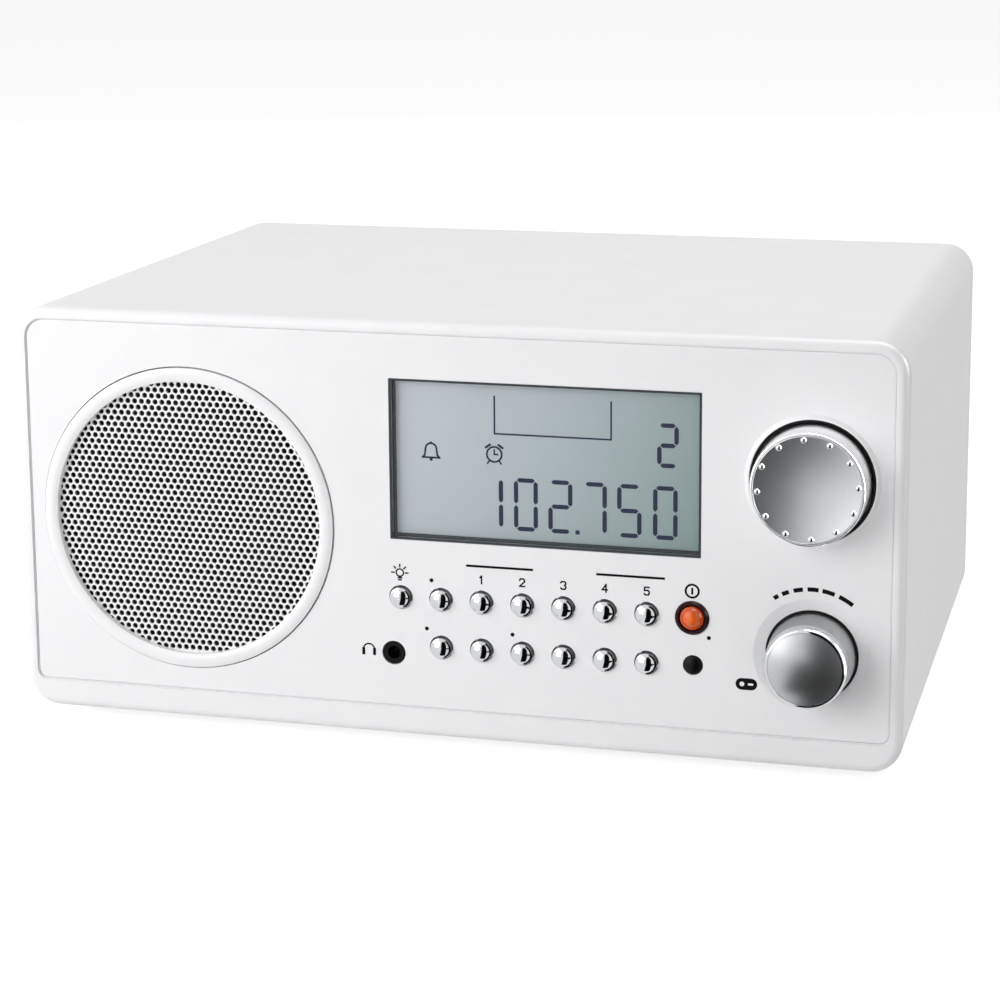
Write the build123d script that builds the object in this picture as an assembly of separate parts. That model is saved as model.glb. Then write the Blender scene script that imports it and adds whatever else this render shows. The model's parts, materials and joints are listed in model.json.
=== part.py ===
from build123d import *
import math
import os

# Tabletop radio. Millimetres, +Z up, front facing -Y, +X to the right of someone facing it.
# The origin is under the middle of the whole radio, on the surface that its feet stand on.

# Cabinet: one moulded sleeve, open at the front and the rear
cabinet_width = 240.0
cabinet_height = 111.5
cabinet_depth = 172.0
cabinet_wall = 3.0
cabinet_corner = 8.5            # outside radius of the four long edges
cabinet_front_round = 2.2
cabinet_rear_round = 1.0
sill_height = 7.5               # solid bar under the front panel
sill_corner = 3.0               # corner radius of the front opening beside the sill
ledge_width = 2.5               # what each panel seats on, all round
ledge_thickness = 3.0

# Feet
foot_height = 3.5
foot_radius = 7.0
foot_taper = 0.8
foot_seat_depth = 0.6
foot_seat_clearance = 0.2
foot_inset = 25.0               # from the cabinet's sides, front and rear

# Front panel
panel_thickness = 3.0
panel_recess = 0.5              # how far its face stands behind the cabinet's rim
panel_gap = 0.35                # groove round it
panel_edge_round = 0.5
tab_size = 10.0                 # corner pads of the ledge that take the panel's screws
tab_screw_inset = 5.5
tab_boss_radius = 3.0
tab_boss_clearance = 0.3
tab_boss_relief = 0.2           # the boss ends short of its pad, so the screw clamps

# Rear panel
rear_recess = 1.0
rear_thickness = 2.5
rear_gap = 0.3
rear_boss_radius = 5.5
rear_boss_length = 14.0
rear_screw_inset = 5.0
rear_screw_length = 12.0
rear_screw_radius = 1.5
rear_head_radius = 3.0
rear_head_height = 1.8
rear_screw_clearance = 0.3
rear_cross_length = 3.2         # recess for the driver
rear_cross_width = 0.6
rear_cross_floor = 0.8          # metal left under it

# Fasteners inside
screw_radius = 1.3
screw_head_radius = 4.2
screw_head_height = 1.6
screw_length = 6.0              # below the head
screw_end_gap = 0.3             # left in a blind pilot beyond the screw's end
panel_skin = 1.0                # left in front of the blind pilots
thread_clearance = 0.05
pass_clearance = 0.25

# Speaker
speaker_margin = 9.0            # half of what the front opening's height has beyond the speaker's hole
speaker_drop = 2.6              # below the opening's middle
speaker_side_margin = 6.9       # from the cabinet's left side to the hole
ring_gap = 0.35
ring_width = 4.0                # from the hole in to the ring's bore
ring_proud = 0.5
ring_crown = 0.4
ring_flange_width = 1.25
ring_flange_thickness = 1.6
grille_seat_depth = 1.2         # from the panel's face back to the grille
grille_seat_width = 1.6
grille_clearance = 0.2
grille_thickness = 0.8
grille_pitch = 4.1
grille_hole_radius = 1.15
grille_margin = 1.9             # solid edge between the outer holes and the ring's bore
gasket_width = 2.6
gasket_squeeze = 1.0            # gasket thickness left behind the ring
speaker_screw_margin = 4.5      # from the hole out to the circle of its screws
speaker_boss_radius = 3.0
speaker_ear_radius = 4.8
speaker_screw_bite = 4.0
frame_plate = 1.2
frame_flange_width = 6.0
frame_depth = 20.0
frame_rear_radius = 21.0
frame_window_width = 26.0
frame_window_height = 10.0
spider_shelf_depth = 15.0
spider_shelf_width = 6.0
surround_roll = 2.5
surround_width = 5.0
surround_thickness = 0.6
surround_land = 2.3
cone_thickness = 0.5
cone_depth = 13.0
cone_travel = 1.0               # each way
cone_clearance = 0.3
dust_cap_radius = 10.0
dust_cap_rise = 3.0
glue_gap = 0.05
coil_radius = 7.3
coil_wall = 0.5
coil_length = 13.5
pole_clearance = 0.4
magnet_radius = 20.0
magnet_bore_radius = 11.0
magnet_thickness = 9.0
yoke_radius = 18.0
yoke_thickness = 3.0
spider_thickness = 0.5
spider_wave = 1.0

# Display: its opening fills the space between the speaker, the tuning knob, the keys and the roof
display_low = 53.4              # lower edge above the cabinet's underside
display_drop = 15.1             # upper edge below the cabinet's top
display_speaker_gap = 15.45
display_knob_gap = 28.1         # from its right edge to the tuning knob's axis
display_gap = 0.1
display_wall = 0.5
display_recess = 0.2
display_draft = 0.1             # how far the tunnel's walls lean in on the way to the glass
window_thickness = 1.2
window_seat = 0.3
window_clearance = 0.1
glass_depth = 5.2               # from the panel's face to the liquid crystal glass
glass_thickness = 2.8
glass_margin = 3.2              # glass that the frame covers, each side
holder_margin = 1.8             # wall of the holder outside the glass
holder_clearance = 0.2

# Front circuit board
board_thickness = 1.6
board_standoff = 9.0            # from the panel's back
board_left = -27.0
board_right_inset = 8.0         # from the cabinet's right side
board_low = 13.0
board_drop = 7.5                # upper edge below the cabinet's top
board_post_radius = 3.0
board_post_inset = 3.5
board_post_gap = 0.5            # between a post and the display's holder
board_post_shift = 2.0          # that two posts stand off, to clear the bezel and the dishes

# Push buttons
key_pitch = 11.0
key_row_pitch = 13.0
key_first_x = -0.95
key_top_height = 37.8
key_radius = 2.75
key_clearance = 0.5
key_proud = 2.0
key_rim_proud = 1.2
key_rim_width = 0.45
key_rim_slope = 0.1
key_flange_width = 0.9
key_flange_thickness = 0.8
key_play = 0.1
key_travel = 0.5
stem_radius = 1.2
switch_side = 6.0
switch_height = 4.5
switch_bore_clearance = 0.15
switch_bore_depth = 1.6
stem_engagement = 0.7
key_places = {                  # column and row on the key grid
    "light_button": (-1, 0),
    "band_button": (0, 0),
    "preset_1_button": (1, 0),
    "preset_2_button": (2, 0),
    "preset_3_button": (3, 0),
    "preset_4_button": (4, 0),
    "preset_5_button": (5, 0),
    "scan_button": (0, 1),
    "display_button": (1, 1),
    "set_button": (2, 1),
    "select_button": (3, 1),
    "hour_button": (4, 1),
    "minute_button": (5, 1),
}

# Power button
power_x = 65.9
power_height = 37.6
power_radius = 3.05
power_proud = 1.7
power_rim_proud = 0.5
bezel_radius = 4.4
bezel_wall = 1.05
bezel_proud = 0.7
bezel_clearance = 0.1
bezel_flange_width = 0.9
bezel_lip = 0.2                 # chamfer of its bore
bezel_bevel = 0.45              # slope of its outer edge

# Headphone socket and sensor lens
headphone_x = -14.1
headphone_height = 22.4
jack_radius = 1.8               # takes a 3.5 mm plug
jack_collar_radius = 3.1
jack_collar_clearance = 0.15
jack_collar_recess = 0.3
jack_body_side = 10.0
jack_tip_clearance = 1.0        # round the plug's tip, in the board
sensor_x = 66.2
sensor_height = 25.1
sensor_radius = 2.55
sensor_clearance = 0.1
sensor_proud = 0.9
sensor_flange_width = 0.8
sensor_guide_radius = 1.5

# Knobs, from the cabinet's right side and its top or underside
encoder_width = 12.4
encoder_height = 13.2
bushing_radius = 3.5
bushing_clearance = 0.1
shaft_radius = 3.0
shaft_running_clearance = 0.05
shaft_flat = 1.5                # from the axis to the flat
shaft_in_body = 3.4
encoder_back_wall = 1.0
nut_flats = 10.0
nut_thickness = 2.0
dish_floor = 2.0                # panel left behind each knob
dish_boss_margin = 1.5
knob_bore_clearance = 0.02
hub_radius = 5.5
tuning_inset = 23.8
tuning_drop = 36.55             # axis below the cabinet's top
tuning_dish_radius = 16.0
tuning_bead_width = 1.25
tuning_bead_proud = 0.4
tuning_radius = 15.0
tuning_face_radius = 14.45
tuning_proud = 9.0
tuning_wall = 2.2
tuning_top = 2.7
tuning_floor_gap = 0.8
tuning_hub_gap = 0.8
tuning_rim_round = 0.4
tuning_cap_inset = 0.6
tuning_cap_thickness = 2.0
tuning_cap_hollow = 1.2
tuning_cap_land = 0.25
tuning_cap_chamfer = 0.15
tuning_cap_clearance = 0.1
tuning_bumps = 12
tuning_bump_radius = 0.8
tuning_bump_proud = 0.35
tuning_bump_rise = 0.4          # of its domed top
tuning_bump_inset = 1.25
tuning_bump_first = 95.0        # angle of the first one, in degrees from the right
volume_inset = 23.4
volume_height = 29.7
volume_dish_radius = 14.85
volume_dish_depth = 0.8
volume_well_radius = 11.9
volume_radius = 11.1
volume_neck_radius = 10.5
volume_cap_radius = 9.3
volume_proud = 13.0
volume_crown = 1.5
volume_bevel = 1.6
volume_skirt = 3.5
volume_wall = 2.2
volume_top = 5.0
volume_floor_gap = 1.2
volume_hub_gap = 1.6
volume_travel = 0.6
plunger_thickness = 1.4
plunger_clearance = 0.15

# Main board, on the cabinet's floor
main_width = 160.0
main_depth = 95.0
main_x = 15.0                   # middle of the board
main_standoff = 8.0
main_rear_gap = 1.0
main_post_radius = 3.5
main_post_inset = 6.0
can_width = 46.0
can_depth = 34.0
can_height = 13.0
can_wall = 0.8
sink_width = 42.0
sink_height = 26.0
sink_base = 3.0
sink_fins = 7
sink_fin_length = 13.0
sink_fin_thickness = 1.2
capacitor_sizes = ((6.3, 22.0), (6.3, 22.0), (5.0, 13.0))   # radius and height of each
capacitor_start = 8.0           # from the board's middle
capacitor_pitch = 18.0

# Rear sockets
rear_jack_height = 5.5          # axis above the main board
rear_jack_width = 9.0
rear_jack_depth = 13.0
dc_inset = 21.0                 # from the board's right end, as seen from the front
dc_radius = 2.8
dc_pin_radius = 1.0
dc_width = 10.0
dc_bore_depth = 9.5
aux_inset = 47.0
line_out_inset = 67.0
aerial_inset = 35.0             # from the cabinet's side
aerial_height = 27.0
aerial_radius = 4.76            # three-eighths inch thread
aerial_proud = 10.0
aerial_bore_radius = 1.5
aerial_floor = 1.0              # left at the front end of its bore
aerial_flange_radius = 7.0
aerial_flange_thickness = 2.5
aerial_nut_flats = 11.0
aerial_nut_thickness = 2.2
aerial_relief = 0.25            # how much the shank behind the free thread is turned down
aerial_undercut = 0.6           # of that shank left in sight beyond the nut
aerial_clearance = 0.2
vent_slots = 9
vent_pitch = 5.5
vent_length = 44.0
vent_width = 2.2
vent_xs = (-58.0, 62.0)
vent_drop = 39.5                # middle of each group below the cabinet's top

# Ferrite rod aerial under the roof
rod_radius = 5.0
rod_length = 130.0
rod_drop = 12.0                 # axis below the roof's inside
rod_from_rear = 32.0
rod_clearance = 0.05
holder_span = 96.0
holder_thickness = 8.0
holder_side = 16.0
winding_length = 34.0
winding_wall = 1.4

# Places worked out from the values above
front_reach = volume_proud - panel_recess
rear_reach = aerial_proud - rear_recess
front_y = front_reach - (front_reach + cabinet_depth + rear_reach) / 2
rear_y = front_y + cabinet_depth
floor_z = foot_height
roof_z = floor_z + cabinet_height
middle_z = (floor_z + roof_z) / 2
inside_floor_z = floor_z + cabinet_wall
inside_roof_z = roof_z - cabinet_wall
inside_x = cabinet_width / 2 - cabinet_wall
face_y = front_y + panel_recess
panel_back_y = face_y + panel_thickness
ledge_back_y = panel_back_y + ledge_thickness
board_front_y = panel_back_y + board_standoff
board_back_y = board_front_y + board_thickness
rear_face_y = rear_y - rear_recess
rear_seat_y = rear_face_y - rear_thickness
opening_low_z = floor_z + sill_height
opening_tall = inside_roof_z - opening_low_z
speaker_hole_radius = opening_tall / 2 - speaker_margin
ring_inner_radius = speaker_hole_radius - ring_width
speaker_screw_circle = speaker_hole_radius + speaker_screw_margin
speaker_x = speaker_hole_radius + speaker_side_margin - cabinet_width / 2
speaker_z = opening_low_z + opening_tall / 2 - speaker_drop
speaker_seat_y = panel_back_y + ring_flange_thickness + gasket_squeeze
grille_seat_radius = ring_inner_radius + grille_seat_width
grille_radius = grille_seat_radius - grille_clearance
gasket_radius = grille_radius - gasket_width
surround_outer = gasket_radius - grille_clearance
roll_outer = surround_outer - surround_land
roll_inner = roll_outer - surround_width
cone_radius = roll_inner - cone_clearance
frame_back_y = speaker_seat_y + frame_plate + frame_depth
frame_shelf_y = speaker_seat_y + frame_plate + spider_shelf_depth
tuning_x = cabinet_width / 2 - tuning_inset
tuning_z = roof_z - tuning_drop
display_left = speaker_x + speaker_hole_radius + display_speaker_gap
display_width = tuning_x - display_knob_gap - display_left
display_tall = cabinet_height - display_drop - display_low
display_x = display_left + display_width / 2
display_z = floor_z + display_low + display_tall / 2
board_high = cabinet_height - board_drop
board_right = cabinet_width / 2 - board_right_inset
key_top_z = floor_z + key_top_height
power_z = floor_z + power_height
headphone_z = floor_z + headphone_height
sensor_z = floor_z + sensor_height
volume_x = cabinet_width / 2 - volume_inset
volume_z = floor_z + volume_height
encoder_front_y = panel_back_y + dish_floor
main_low_z = inside_floor_z + main_standoff
main_top_z = main_low_z + board_thickness
main_rear_y = rear_seat_y - main_rear_gap
main_front_y = main_rear_y - main_depth
jack_z = main_top_z + rear_jack_height
main_right = main_x + main_width / 2
dc_x = main_right - dc_inset
aux_x = main_right - aux_inset
line_out_x = main_right - line_out_inset
aerial_x = aerial_inset - cabinet_width / 2
aerial_z = floor_z + aerial_height
aerial_shank = aerial_radius - aerial_relief
aerial_thread_y = rear_face_y + aerial_nut_thickness + aerial_undercut
aerial_end_y = rear_face_y + aerial_proud
vent_z = roof_z - vent_drop
rod_y = rear_seat_y - rod_from_rear
rod_z = inside_roof_z - rod_drop

FROM_BACK = (Align.CENTER, Align.CENTER, Align.MIN)


def facing(y, x=0.0, z=0.0):
    """A plane across the radio as seen from the front: local x is X and local y is Z."""
    return Plane(origin=(x, y, z), x_dir=(1, 0, 0), z_dir=(0, -1, 0))


def slab(outline, y_front, y_back):
    """A flat piece with a given outline between two depths."""
    return extrude(facing(y_back) * outline, y_back - y_front)


def rod(x, z, y_front, y_back, radius):
    """A cylinder along Y."""
    return facing(y_back, x, z) * Cylinder(radius, y_back - y_front, align=FROM_BACK)


def block(x_low, x_high, y_low, y_high, z_low, z_high):
    """A box between two corners."""
    middle = Pos((x_low + x_high) / 2, (y_low + y_high) / 2, (z_low + z_high) / 2)
    return middle * Box(x_high - x_low, y_high - y_low, z_high - z_low)


def post(x, y, z_low, z_high, radius):
    """A cylinder along Z."""
    return Pos(x, y, z_low) * Cylinder(radius, z_high - z_low, align=FROM_BACK)


def turned(x, z, *lines):
    """A solid of revolution about the Y line through x and z, from (radius, y) lines."""
    section = Pos(x, 0, z) * make_face(lines)
    return revolve(section, Axis((x, 0, z), (0, 1, 0)))


def turned_points(x, z, *points):
    """The same from plain (radius, y) corners."""
    return turned(x, z, Polyline(*points, close=True))


def dome(edge, crown):
    """Arc from a dome's edge to its crown on the axis, level at the crown."""
    rise = edge[1] - crown[1]
    ball = (rise ** 2 + edge[0] ** 2) / (2 * rise)
    lean = math.asin(edge[0] / ball) / 2
    return ThreePointArc(edge, (ball * math.sin(lean), crown[1] + ball * (1 - math.cos(lean))), crown)


def group(solids):
    """Separate solids that share one node."""
    return Compound(children=list(solids))


def around(radius, count, first=0.0):
    """Evenly spaced x and z offsets on a circle."""
    angles = [math.radians(first + 360 * number / count) for number in range(count)]
    return [(radius * math.cos(angle), radius * math.sin(angle)) for angle in angles]


def front_opening(inset):
    """Outline of the front opening, shrunk all round by inset."""
    middle = Pos(0, opening_low_z + opening_tall / 2)
    outline = middle * Rectangle(2 * (inside_x - inset), opening_tall - 2 * inset)
    upper = outline.vertices().group_by(Axis.Y)[-1]
    outline = fillet(upper, cabinet_corner - cabinet_wall - inset)
    lower = outline.vertices().group_by(Axis.Y)[0]
    return fillet(lower, max(sill_corner - inset, 0.3))


def cavity(inset):
    """Outline of the cabinet's inside, shrunk all round by inset."""
    width = 2 * (inside_x - inset)
    height = inside_roof_z - inside_floor_z - 2 * inset
    corner = cabinet_corner - cabinet_wall - inset
    return Pos(0, middle_z) * RectangleRounded(width, height, corner)


def tab_places():
    """Screws that hold the front panel, one near each corner of its opening."""
    x = inside_x - tab_screw_inset
    heights = (opening_low_z + tab_screw_inset, inside_roof_z - tab_screw_inset)
    return [(side * x, z) for side in (-1, 1) for z in heights]


def rear_screw_places():
    """Screws of the rear panel: the four corners and the middle of each side."""
    x = inside_x - rear_screw_inset
    heights = (inside_floor_z + rear_screw_inset, middle_z, inside_roof_z - rear_screw_inset)
    return [(side * x, z) for side in (-1, 1) for z in heights]


def foot_places():
    x = cabinet_width / 2 - foot_inset
    return [(side * x, y) for side in (-1, 1) for y in (front_y + foot_inset, rear_y - foot_inset)]


def main_post_places():
    x = main_width / 2 - main_post_inset
    depths = (main_front_y + main_post_inset, main_rear_y - rear_jack_depth - main_post_inset)
    return [(main_x + side * x, y) for side in (-1, 1) for y in depths]


def speaker_screw_places():
    return [(speaker_x + x, speaker_z + z) for x, z in around(speaker_screw_circle, 4, 45)]


def board_post_places():
    """Posts of the front board: clear of the display, the keys and both knobs."""
    low = floor_z + board_low + board_post_inset
    high = floor_z + board_high - board_post_inset
    left = board_left + board_post_inset
    beside_display = display_x + display_width / 2 + display_post_offset()
    between_knobs = (tuning_z + volume_z) / 2 - board_post_shift
    right = board_right - board_post_inset
    return [(left, low), (left, high), (display_x, low), (beside_display, high),
            (beside_display - board_post_shift, low), (right, between_knobs)]


def display_post_offset():
    """From the display opening's edge to a post that clears the holder."""
    return glass_margin + holder_margin + board_post_radius + board_post_gap


def key_centre(column, row):
    return key_first_x + column * key_pitch, key_top_z - row * key_row_pitch


# Cabinet, panels and feet

def make_cabinet_shell():
    outline = Pos(0, middle_z) * RectangleRounded(cabinet_width, cabinet_height, cabinet_corner)
    shell = slab(outline, front_y, rear_y)
    shell = fillet(shell.faces().sort_by(Axis.Y)[0].edges(), cabinet_front_round)
    shell = fillet(shell.faces().sort_by(Axis.Y)[-1].edges(), cabinet_rear_round)
    shell -= slab(front_opening(0), front_y, panel_back_y)
    shell -= slab(front_opening(ledge_width) - tab_pads(), panel_back_y, ledge_back_y)
    shell -= slab(cavity(0), ledge_back_y, rear_seat_y - ledge_thickness)
    shell -= slab(cavity(ledge_width), rear_seat_y - ledge_thickness, rear_seat_y)
    shell -= slab(cavity(0), rear_seat_y, rear_y)
    inside = slab(cavity(-cabinet_wall / 2), front_y, rear_y)
    for x, z in rear_screw_places():
        shell += rod(x, z, rear_seat_y - rear_boss_length, rear_seat_y, rear_boss_radius) & inside
    for x, y in main_post_places():
        shell += post(x, y, inside_floor_z, main_low_z, main_post_radius)
    cuts = [rod(x, z, rear_seat_y - rear_screw_length, rear_seat_y, rear_screw_radius + thread_clearance)
            for x, z in rear_screw_places()]
    cuts += [rod(x, z, panel_back_y, ledge_back_y, tab_boss_radius + tab_boss_clearance)
             for x, z in tab_places()]
    pilot_low = main_top_z - screw_length - screw_end_gap
    pilot_radius = screw_radius + thread_clearance
    cuts += [post(x, y, pilot_low, main_low_z, pilot_radius) for x, y in main_post_places()]
    cuts += [post(x, y, floor_z, floor_z + foot_seat_depth, foot_radius + foot_seat_clearance)
             for x, y in foot_places()]
    return shell - cuts


def tab_pads():
    """Square pads that widen the front ledge at its corners."""
    x = inside_x - tab_size / 2
    heights = (opening_low_z + tab_size / 2, inside_roof_z - tab_size / 2)
    return Sketch() + [Pos(side * x, z) * Rectangle(tab_size, tab_size) for side in (-1, 1) for z in heights]


def make_front_panel():
    panel = slab(front_opening(panel_gap), face_y, panel_back_y)
    panel = fillet(panel.faces().sort_by(Axis.Y)[0].edges(), panel_edge_round)
    panel += [rod(x, z, panel_back_y, ledge_back_y - tab_boss_relief, tab_boss_radius)
              for x, z in tab_places()]
    panel += [rod(x, z, panel_back_y, board_front_y, board_post_radius) for x, z in board_post_places()]
    panel += [rod(x, z, panel_back_y, speaker_seat_y, speaker_boss_radius)
              for x, z in speaker_screw_places()]
    panel += rod(tuning_x, tuning_z, panel_back_y, encoder_front_y, tuning_dish_radius + dish_boss_margin)
    panel += rod(volume_x, volume_z, panel_back_y, encoder_front_y, volume_well_radius + dish_boss_margin)
    panel += tuning_bead()
    panel -= rod(tuning_x, tuning_z, front_y, panel_back_y, tuning_dish_radius)
    panel -= volume_dish()
    panel -= slab(panel_holes(), face_y, panel_back_y)
    screw_pilot = screw_radius + thread_clearance
    pilots = [rod(x, z, face_y + panel_skin, ledge_back_y, screw_pilot) for x, z in tab_places()]
    pilots += [rod(x, z, board_back_y - screw_length - screw_end_gap, board_front_y, screw_pilot)
               for x, z in board_post_places()]
    pilots += [rod(x, z, speaker_seat_y - speaker_screw_bite, speaker_seat_y, screw_pilot)
               for x, z in speaker_screw_places()]
    pilots += [rod(x, z, panel_back_y, encoder_front_y, bushing_radius + bushing_clearance)
               for x, z in ((tuning_x, tuning_z), (volume_x, volume_z))]
    return panel - pilots


def panel_holes():
    """Everything that goes straight through the panel's plate."""
    holes = [Pos(speaker_x, speaker_z) * Circle(speaker_hole_radius)]
    holes += [Pos(display_x, display_z) * Rectangle(display_width, display_tall)]
    holes += [Pos(*key_centre(*place)) * Circle(key_radius + key_clearance)
              for place in key_places.values()]
    holes += [Pos(power_x, power_z) * Circle(bezel_radius + bezel_clearance)]
    holes += [Pos(headphone_x, headphone_z) * Circle(jack_collar_radius + jack_collar_clearance)]
    holes += [Pos(sensor_x, sensor_z) * Circle(sensor_radius + sensor_clearance)]
    return Sketch() + holes


def tuning_bead():
    """Low bead round the tuning knob's dish."""
    inner = tuning_dish_radius
    outer = inner + tuning_bead_width
    top_y = face_y - tuning_bead_proud
    root = inner - tuning_bead_width
    return turned_points(tuning_x, tuning_z, (root, panel_back_y), (root, top_y),
                         (inner + 0.3 * tuning_bead_width, top_y), (outer, face_y), (outer, panel_back_y))


def volume_dish():
    """Shallow cone and well that the volume knob stands in."""
    slope_y = face_y + volume_dish_depth
    return turned_points(volume_x, volume_z, (0, front_y), (volume_dish_radius, front_y),
                         (volume_dish_radius, face_y), (volume_well_radius, slope_y),
                         (volume_well_radius, panel_back_y), (0, panel_back_y))


def make_rear_panel():
    panel = slab(cavity(rear_gap), rear_seat_y, rear_face_y)
    slots = [Pos(x, vent_z + (number - (vent_slots - 1) / 2) * vent_pitch)
             * SlotOverall(vent_length, vent_width) for x in vent_xs for number in range(vent_slots)]
    holes = [Pos(x, z) * Circle(rear_screw_radius + rear_screw_clearance) for x, z in rear_screw_places()]
    holes += [Pos(x, jack_z) * Circle(jack_collar_radius + jack_collar_clearance)
              for x in (aux_x, line_out_x)]
    holes += [Pos(dc_x, jack_z) * Circle(dc_radius + 1 + jack_collar_clearance)]
    holes += [Pos(aerial_x, aerial_z) * Circle(aerial_radius + aerial_clearance)]
    return panel - slab(Sketch() + slots + holes, rear_seat_y, rear_face_y)


def make_rubber_feet():
    feet = []
    for x, y in foot_places():
        foot = Pos(x, y, 0) * Cone(foot_radius - foot_taper, foot_radius, foot_height, align=FROM_BACK)
        foot += post(x, y, foot_height, floor_z + foot_seat_depth, foot_radius)
        feet.append(foot)
    return group(feet)


# Fasteners

def inner_screw(x, z, seat_y, length):
    """Washer-head screw driven towards the front, its head bearing on seat_y."""
    shank = rod(x, z, seat_y - length, seat_y, screw_radius)
    head = rod(x, z, seat_y, seat_y + screw_head_height, screw_head_radius)
    head = fillet(head.faces().sort_by(Axis.Y)[-1].edges(), screw_head_height * 0.5)
    return shank + head


def board_screw(x, y):
    """The same screw driven down into a post of the cabinet's floor."""
    shank = post(x, y, main_top_z - screw_length, main_top_z, screw_radius)
    head = post(x, y, main_top_z, main_top_z + screw_head_height, screw_head_radius * 0.8)
    head = fillet(head.faces().sort_by(Axis.Z)[-1].edges(), screw_head_height * 0.5)
    return shank + head


def make_inner_screws():
    tab_length = ledge_back_y - face_y - panel_skin - screw_end_gap
    screws = [inner_screw(x, z, ledge_back_y, tab_length) for x, z in tab_places()]
    screws += [inner_screw(x, z, board_back_y, screw_length) for x, z in board_post_places()]
    screws += [board_screw(x, y) for x, y in main_post_places()]
    return group(screws)


def make_speaker_screws():
    seat_y = speaker_seat_y + frame_plate
    length = frame_plate + speaker_screw_bite - screw_end_gap
    return group(inner_screw(x, z, seat_y, length) for x, z in speaker_screw_places())


def driver_cross(x, z):
    """Cross recess in the head of a rear screw."""
    arm = rear_cross_length / 2
    half = rear_cross_width / 2
    floor_y = rear_face_y + rear_cross_floor
    top_y = rear_face_y + rear_head_height
    cross = block(x - arm, x + arm, floor_y, top_y, z - half, z + half)
    return cross + block(x - half, x + half, floor_y, top_y, z - arm, z + arm)


def make_rear_screws():
    screws = []
    for x, z in rear_screw_places():
        shank = rod(x, z, rear_seat_y - rear_screw_length + screw_end_gap, rear_face_y, rear_screw_radius)
        head = rod(x, z, rear_face_y, rear_face_y + rear_head_height, rear_head_radius)
        head = fillet(head.faces().sort_by(Axis.Y)[-1].edges(), rear_head_height * 0.6)
        screws.append(shank + head - driver_cross(x, z))
    return group(screws)


# Speaker

def make_grille_ring():
    outer = speaker_hole_radius - ring_gap
    low_y = face_y - ring_proud
    middle = ((ring_inner_radius + outer) / 2, low_y - ring_crown)
    seat_y = face_y + grille_seat_depth
    back_y = panel_back_y + ring_flange_thickness
    flange = outer + ring_flange_width
    crown = ThreePointArc((ring_inner_radius, low_y), middle, (outer, low_y))
    rest = Polyline((outer, low_y), (outer, panel_back_y), (flange, panel_back_y), (flange, back_y),
                    (grille_seat_radius, back_y), (grille_seat_radius, seat_y),
                    (ring_inner_radius, seat_y), (ring_inner_radius, low_y))
    return turned(speaker_x, speaker_z, crown, rest)


def grille_hole_places():
    """Staggered rows of holes inside the ring."""
    reach = ring_inner_radius - grille_margin
    row_pitch = grille_pitch * math.sqrt(3) / 2
    rows = int(reach / row_pitch)
    columns = int(reach / grille_pitch) + 1
    places = []
    for row in range(-rows, rows + 1):
        for column in range(-columns, columns + 1):
            x = (column + (row % 2) / 2) * grille_pitch
            z = row * row_pitch
            if math.hypot(x, z) <= reach:
                places.append((x, z))
    return places


def make_speaker_grille():
    seat_y = face_y + grille_seat_depth
    plane = facing(seat_y + grille_thickness, speaker_x, speaker_z)
    rim = Wire.make_circle(grille_radius, plane)
    holes = [Wire.make_circle(grille_hole_radius, facing(plane.origin.Y, speaker_x + x, speaker_z + z))
             for x, z in grille_hole_places()]
    return extrude(Face(rim, holes), grille_thickness)


def make_speaker_gasket():
    front = face_y + grille_seat_depth + grille_thickness
    outer = rod(speaker_x, speaker_z, front, speaker_seat_y, grille_radius)
    return outer - rod(speaker_x, speaker_z, front, speaker_seat_y, gasket_radius)


def make_speaker_frame():
    """Pressed steel basket: flange with four ears, open cone, spider shelf and rear plate."""
    flange_radius = grille_radius + frame_flange_width / 2
    wall_front = surround_outer
    flange = Circle(flange_radius)
    for angle in (45, 135):
        flange += Rot(0, 0, angle) * SlotCenterToCenter(2 * speaker_screw_circle, 2 * speaker_ear_radius)
    flange -= Circle(roll_outer)
    flange -= [Pos(x, z) * Circle(screw_radius + pass_clearance)
               for x, z in around(speaker_screw_circle, 4, 45)]
    frame = slab(Pos(speaker_x, speaker_z) * flange, speaker_seat_y, speaker_seat_y + frame_plate)
    front_y_wall = speaker_seat_y + frame_plate
    frame += turned_points(speaker_x, speaker_z, (wall_front, front_y_wall),
                           (wall_front + frame_plate, front_y_wall),
                           (frame_rear_radius + frame_plate, frame_back_y), (frame_rear_radius, frame_back_y))
    lean = (wall_front - frame_rear_radius) / frame_depth
    shelf_outer = wall_front - lean * spider_shelf_depth
    frame += turned_points(speaker_x, speaker_z, (shelf_outer - spider_shelf_width, frame_shelf_y),
                           (shelf_outer + 0.6, frame_shelf_y),
                           (shelf_outer - lean * frame_plate + 0.6, frame_shelf_y + frame_plate),
                           (shelf_outer - spider_shelf_width, frame_shelf_y + frame_plate))
    plate_radius = frame_rear_radius + frame_plate
    frame += rod(speaker_x, speaker_z, frame_back_y, frame_back_y + frame_plate, plate_radius)
    frame -= rod(speaker_x, speaker_z, frame_back_y, frame_back_y + frame_plate, coil_radius + cone_clearance)
    windows_y = speaker_seat_y + frame_plate + 2
    for angle in (0, 90):
        window = Box(3 * wall_front, frame_window_height, frame_window_width)
        middle = Pos(speaker_x, windows_y + frame_window_height / 2, speaker_z)
        frame -= middle * Rot(0, angle, 0) * window
    return frame


def make_speaker_magnet():
    """Ferrite ring with the steel yoke and pole behind and inside it."""
    front = frame_back_y + frame_plate
    back = front + magnet_thickness
    pole = coil_radius - coil_wall - pole_clearance
    return turned_points(speaker_x, speaker_z, (0, frame_back_y), (pole, frame_back_y), (pole, back),
                         (magnet_bore_radius, back), (magnet_bore_radius, front), (magnet_radius, front),
                         (magnet_radius, back), (yoke_radius, back), (yoke_radius, back + yoke_thickness),
                         (0, back + yoke_thickness))


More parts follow.
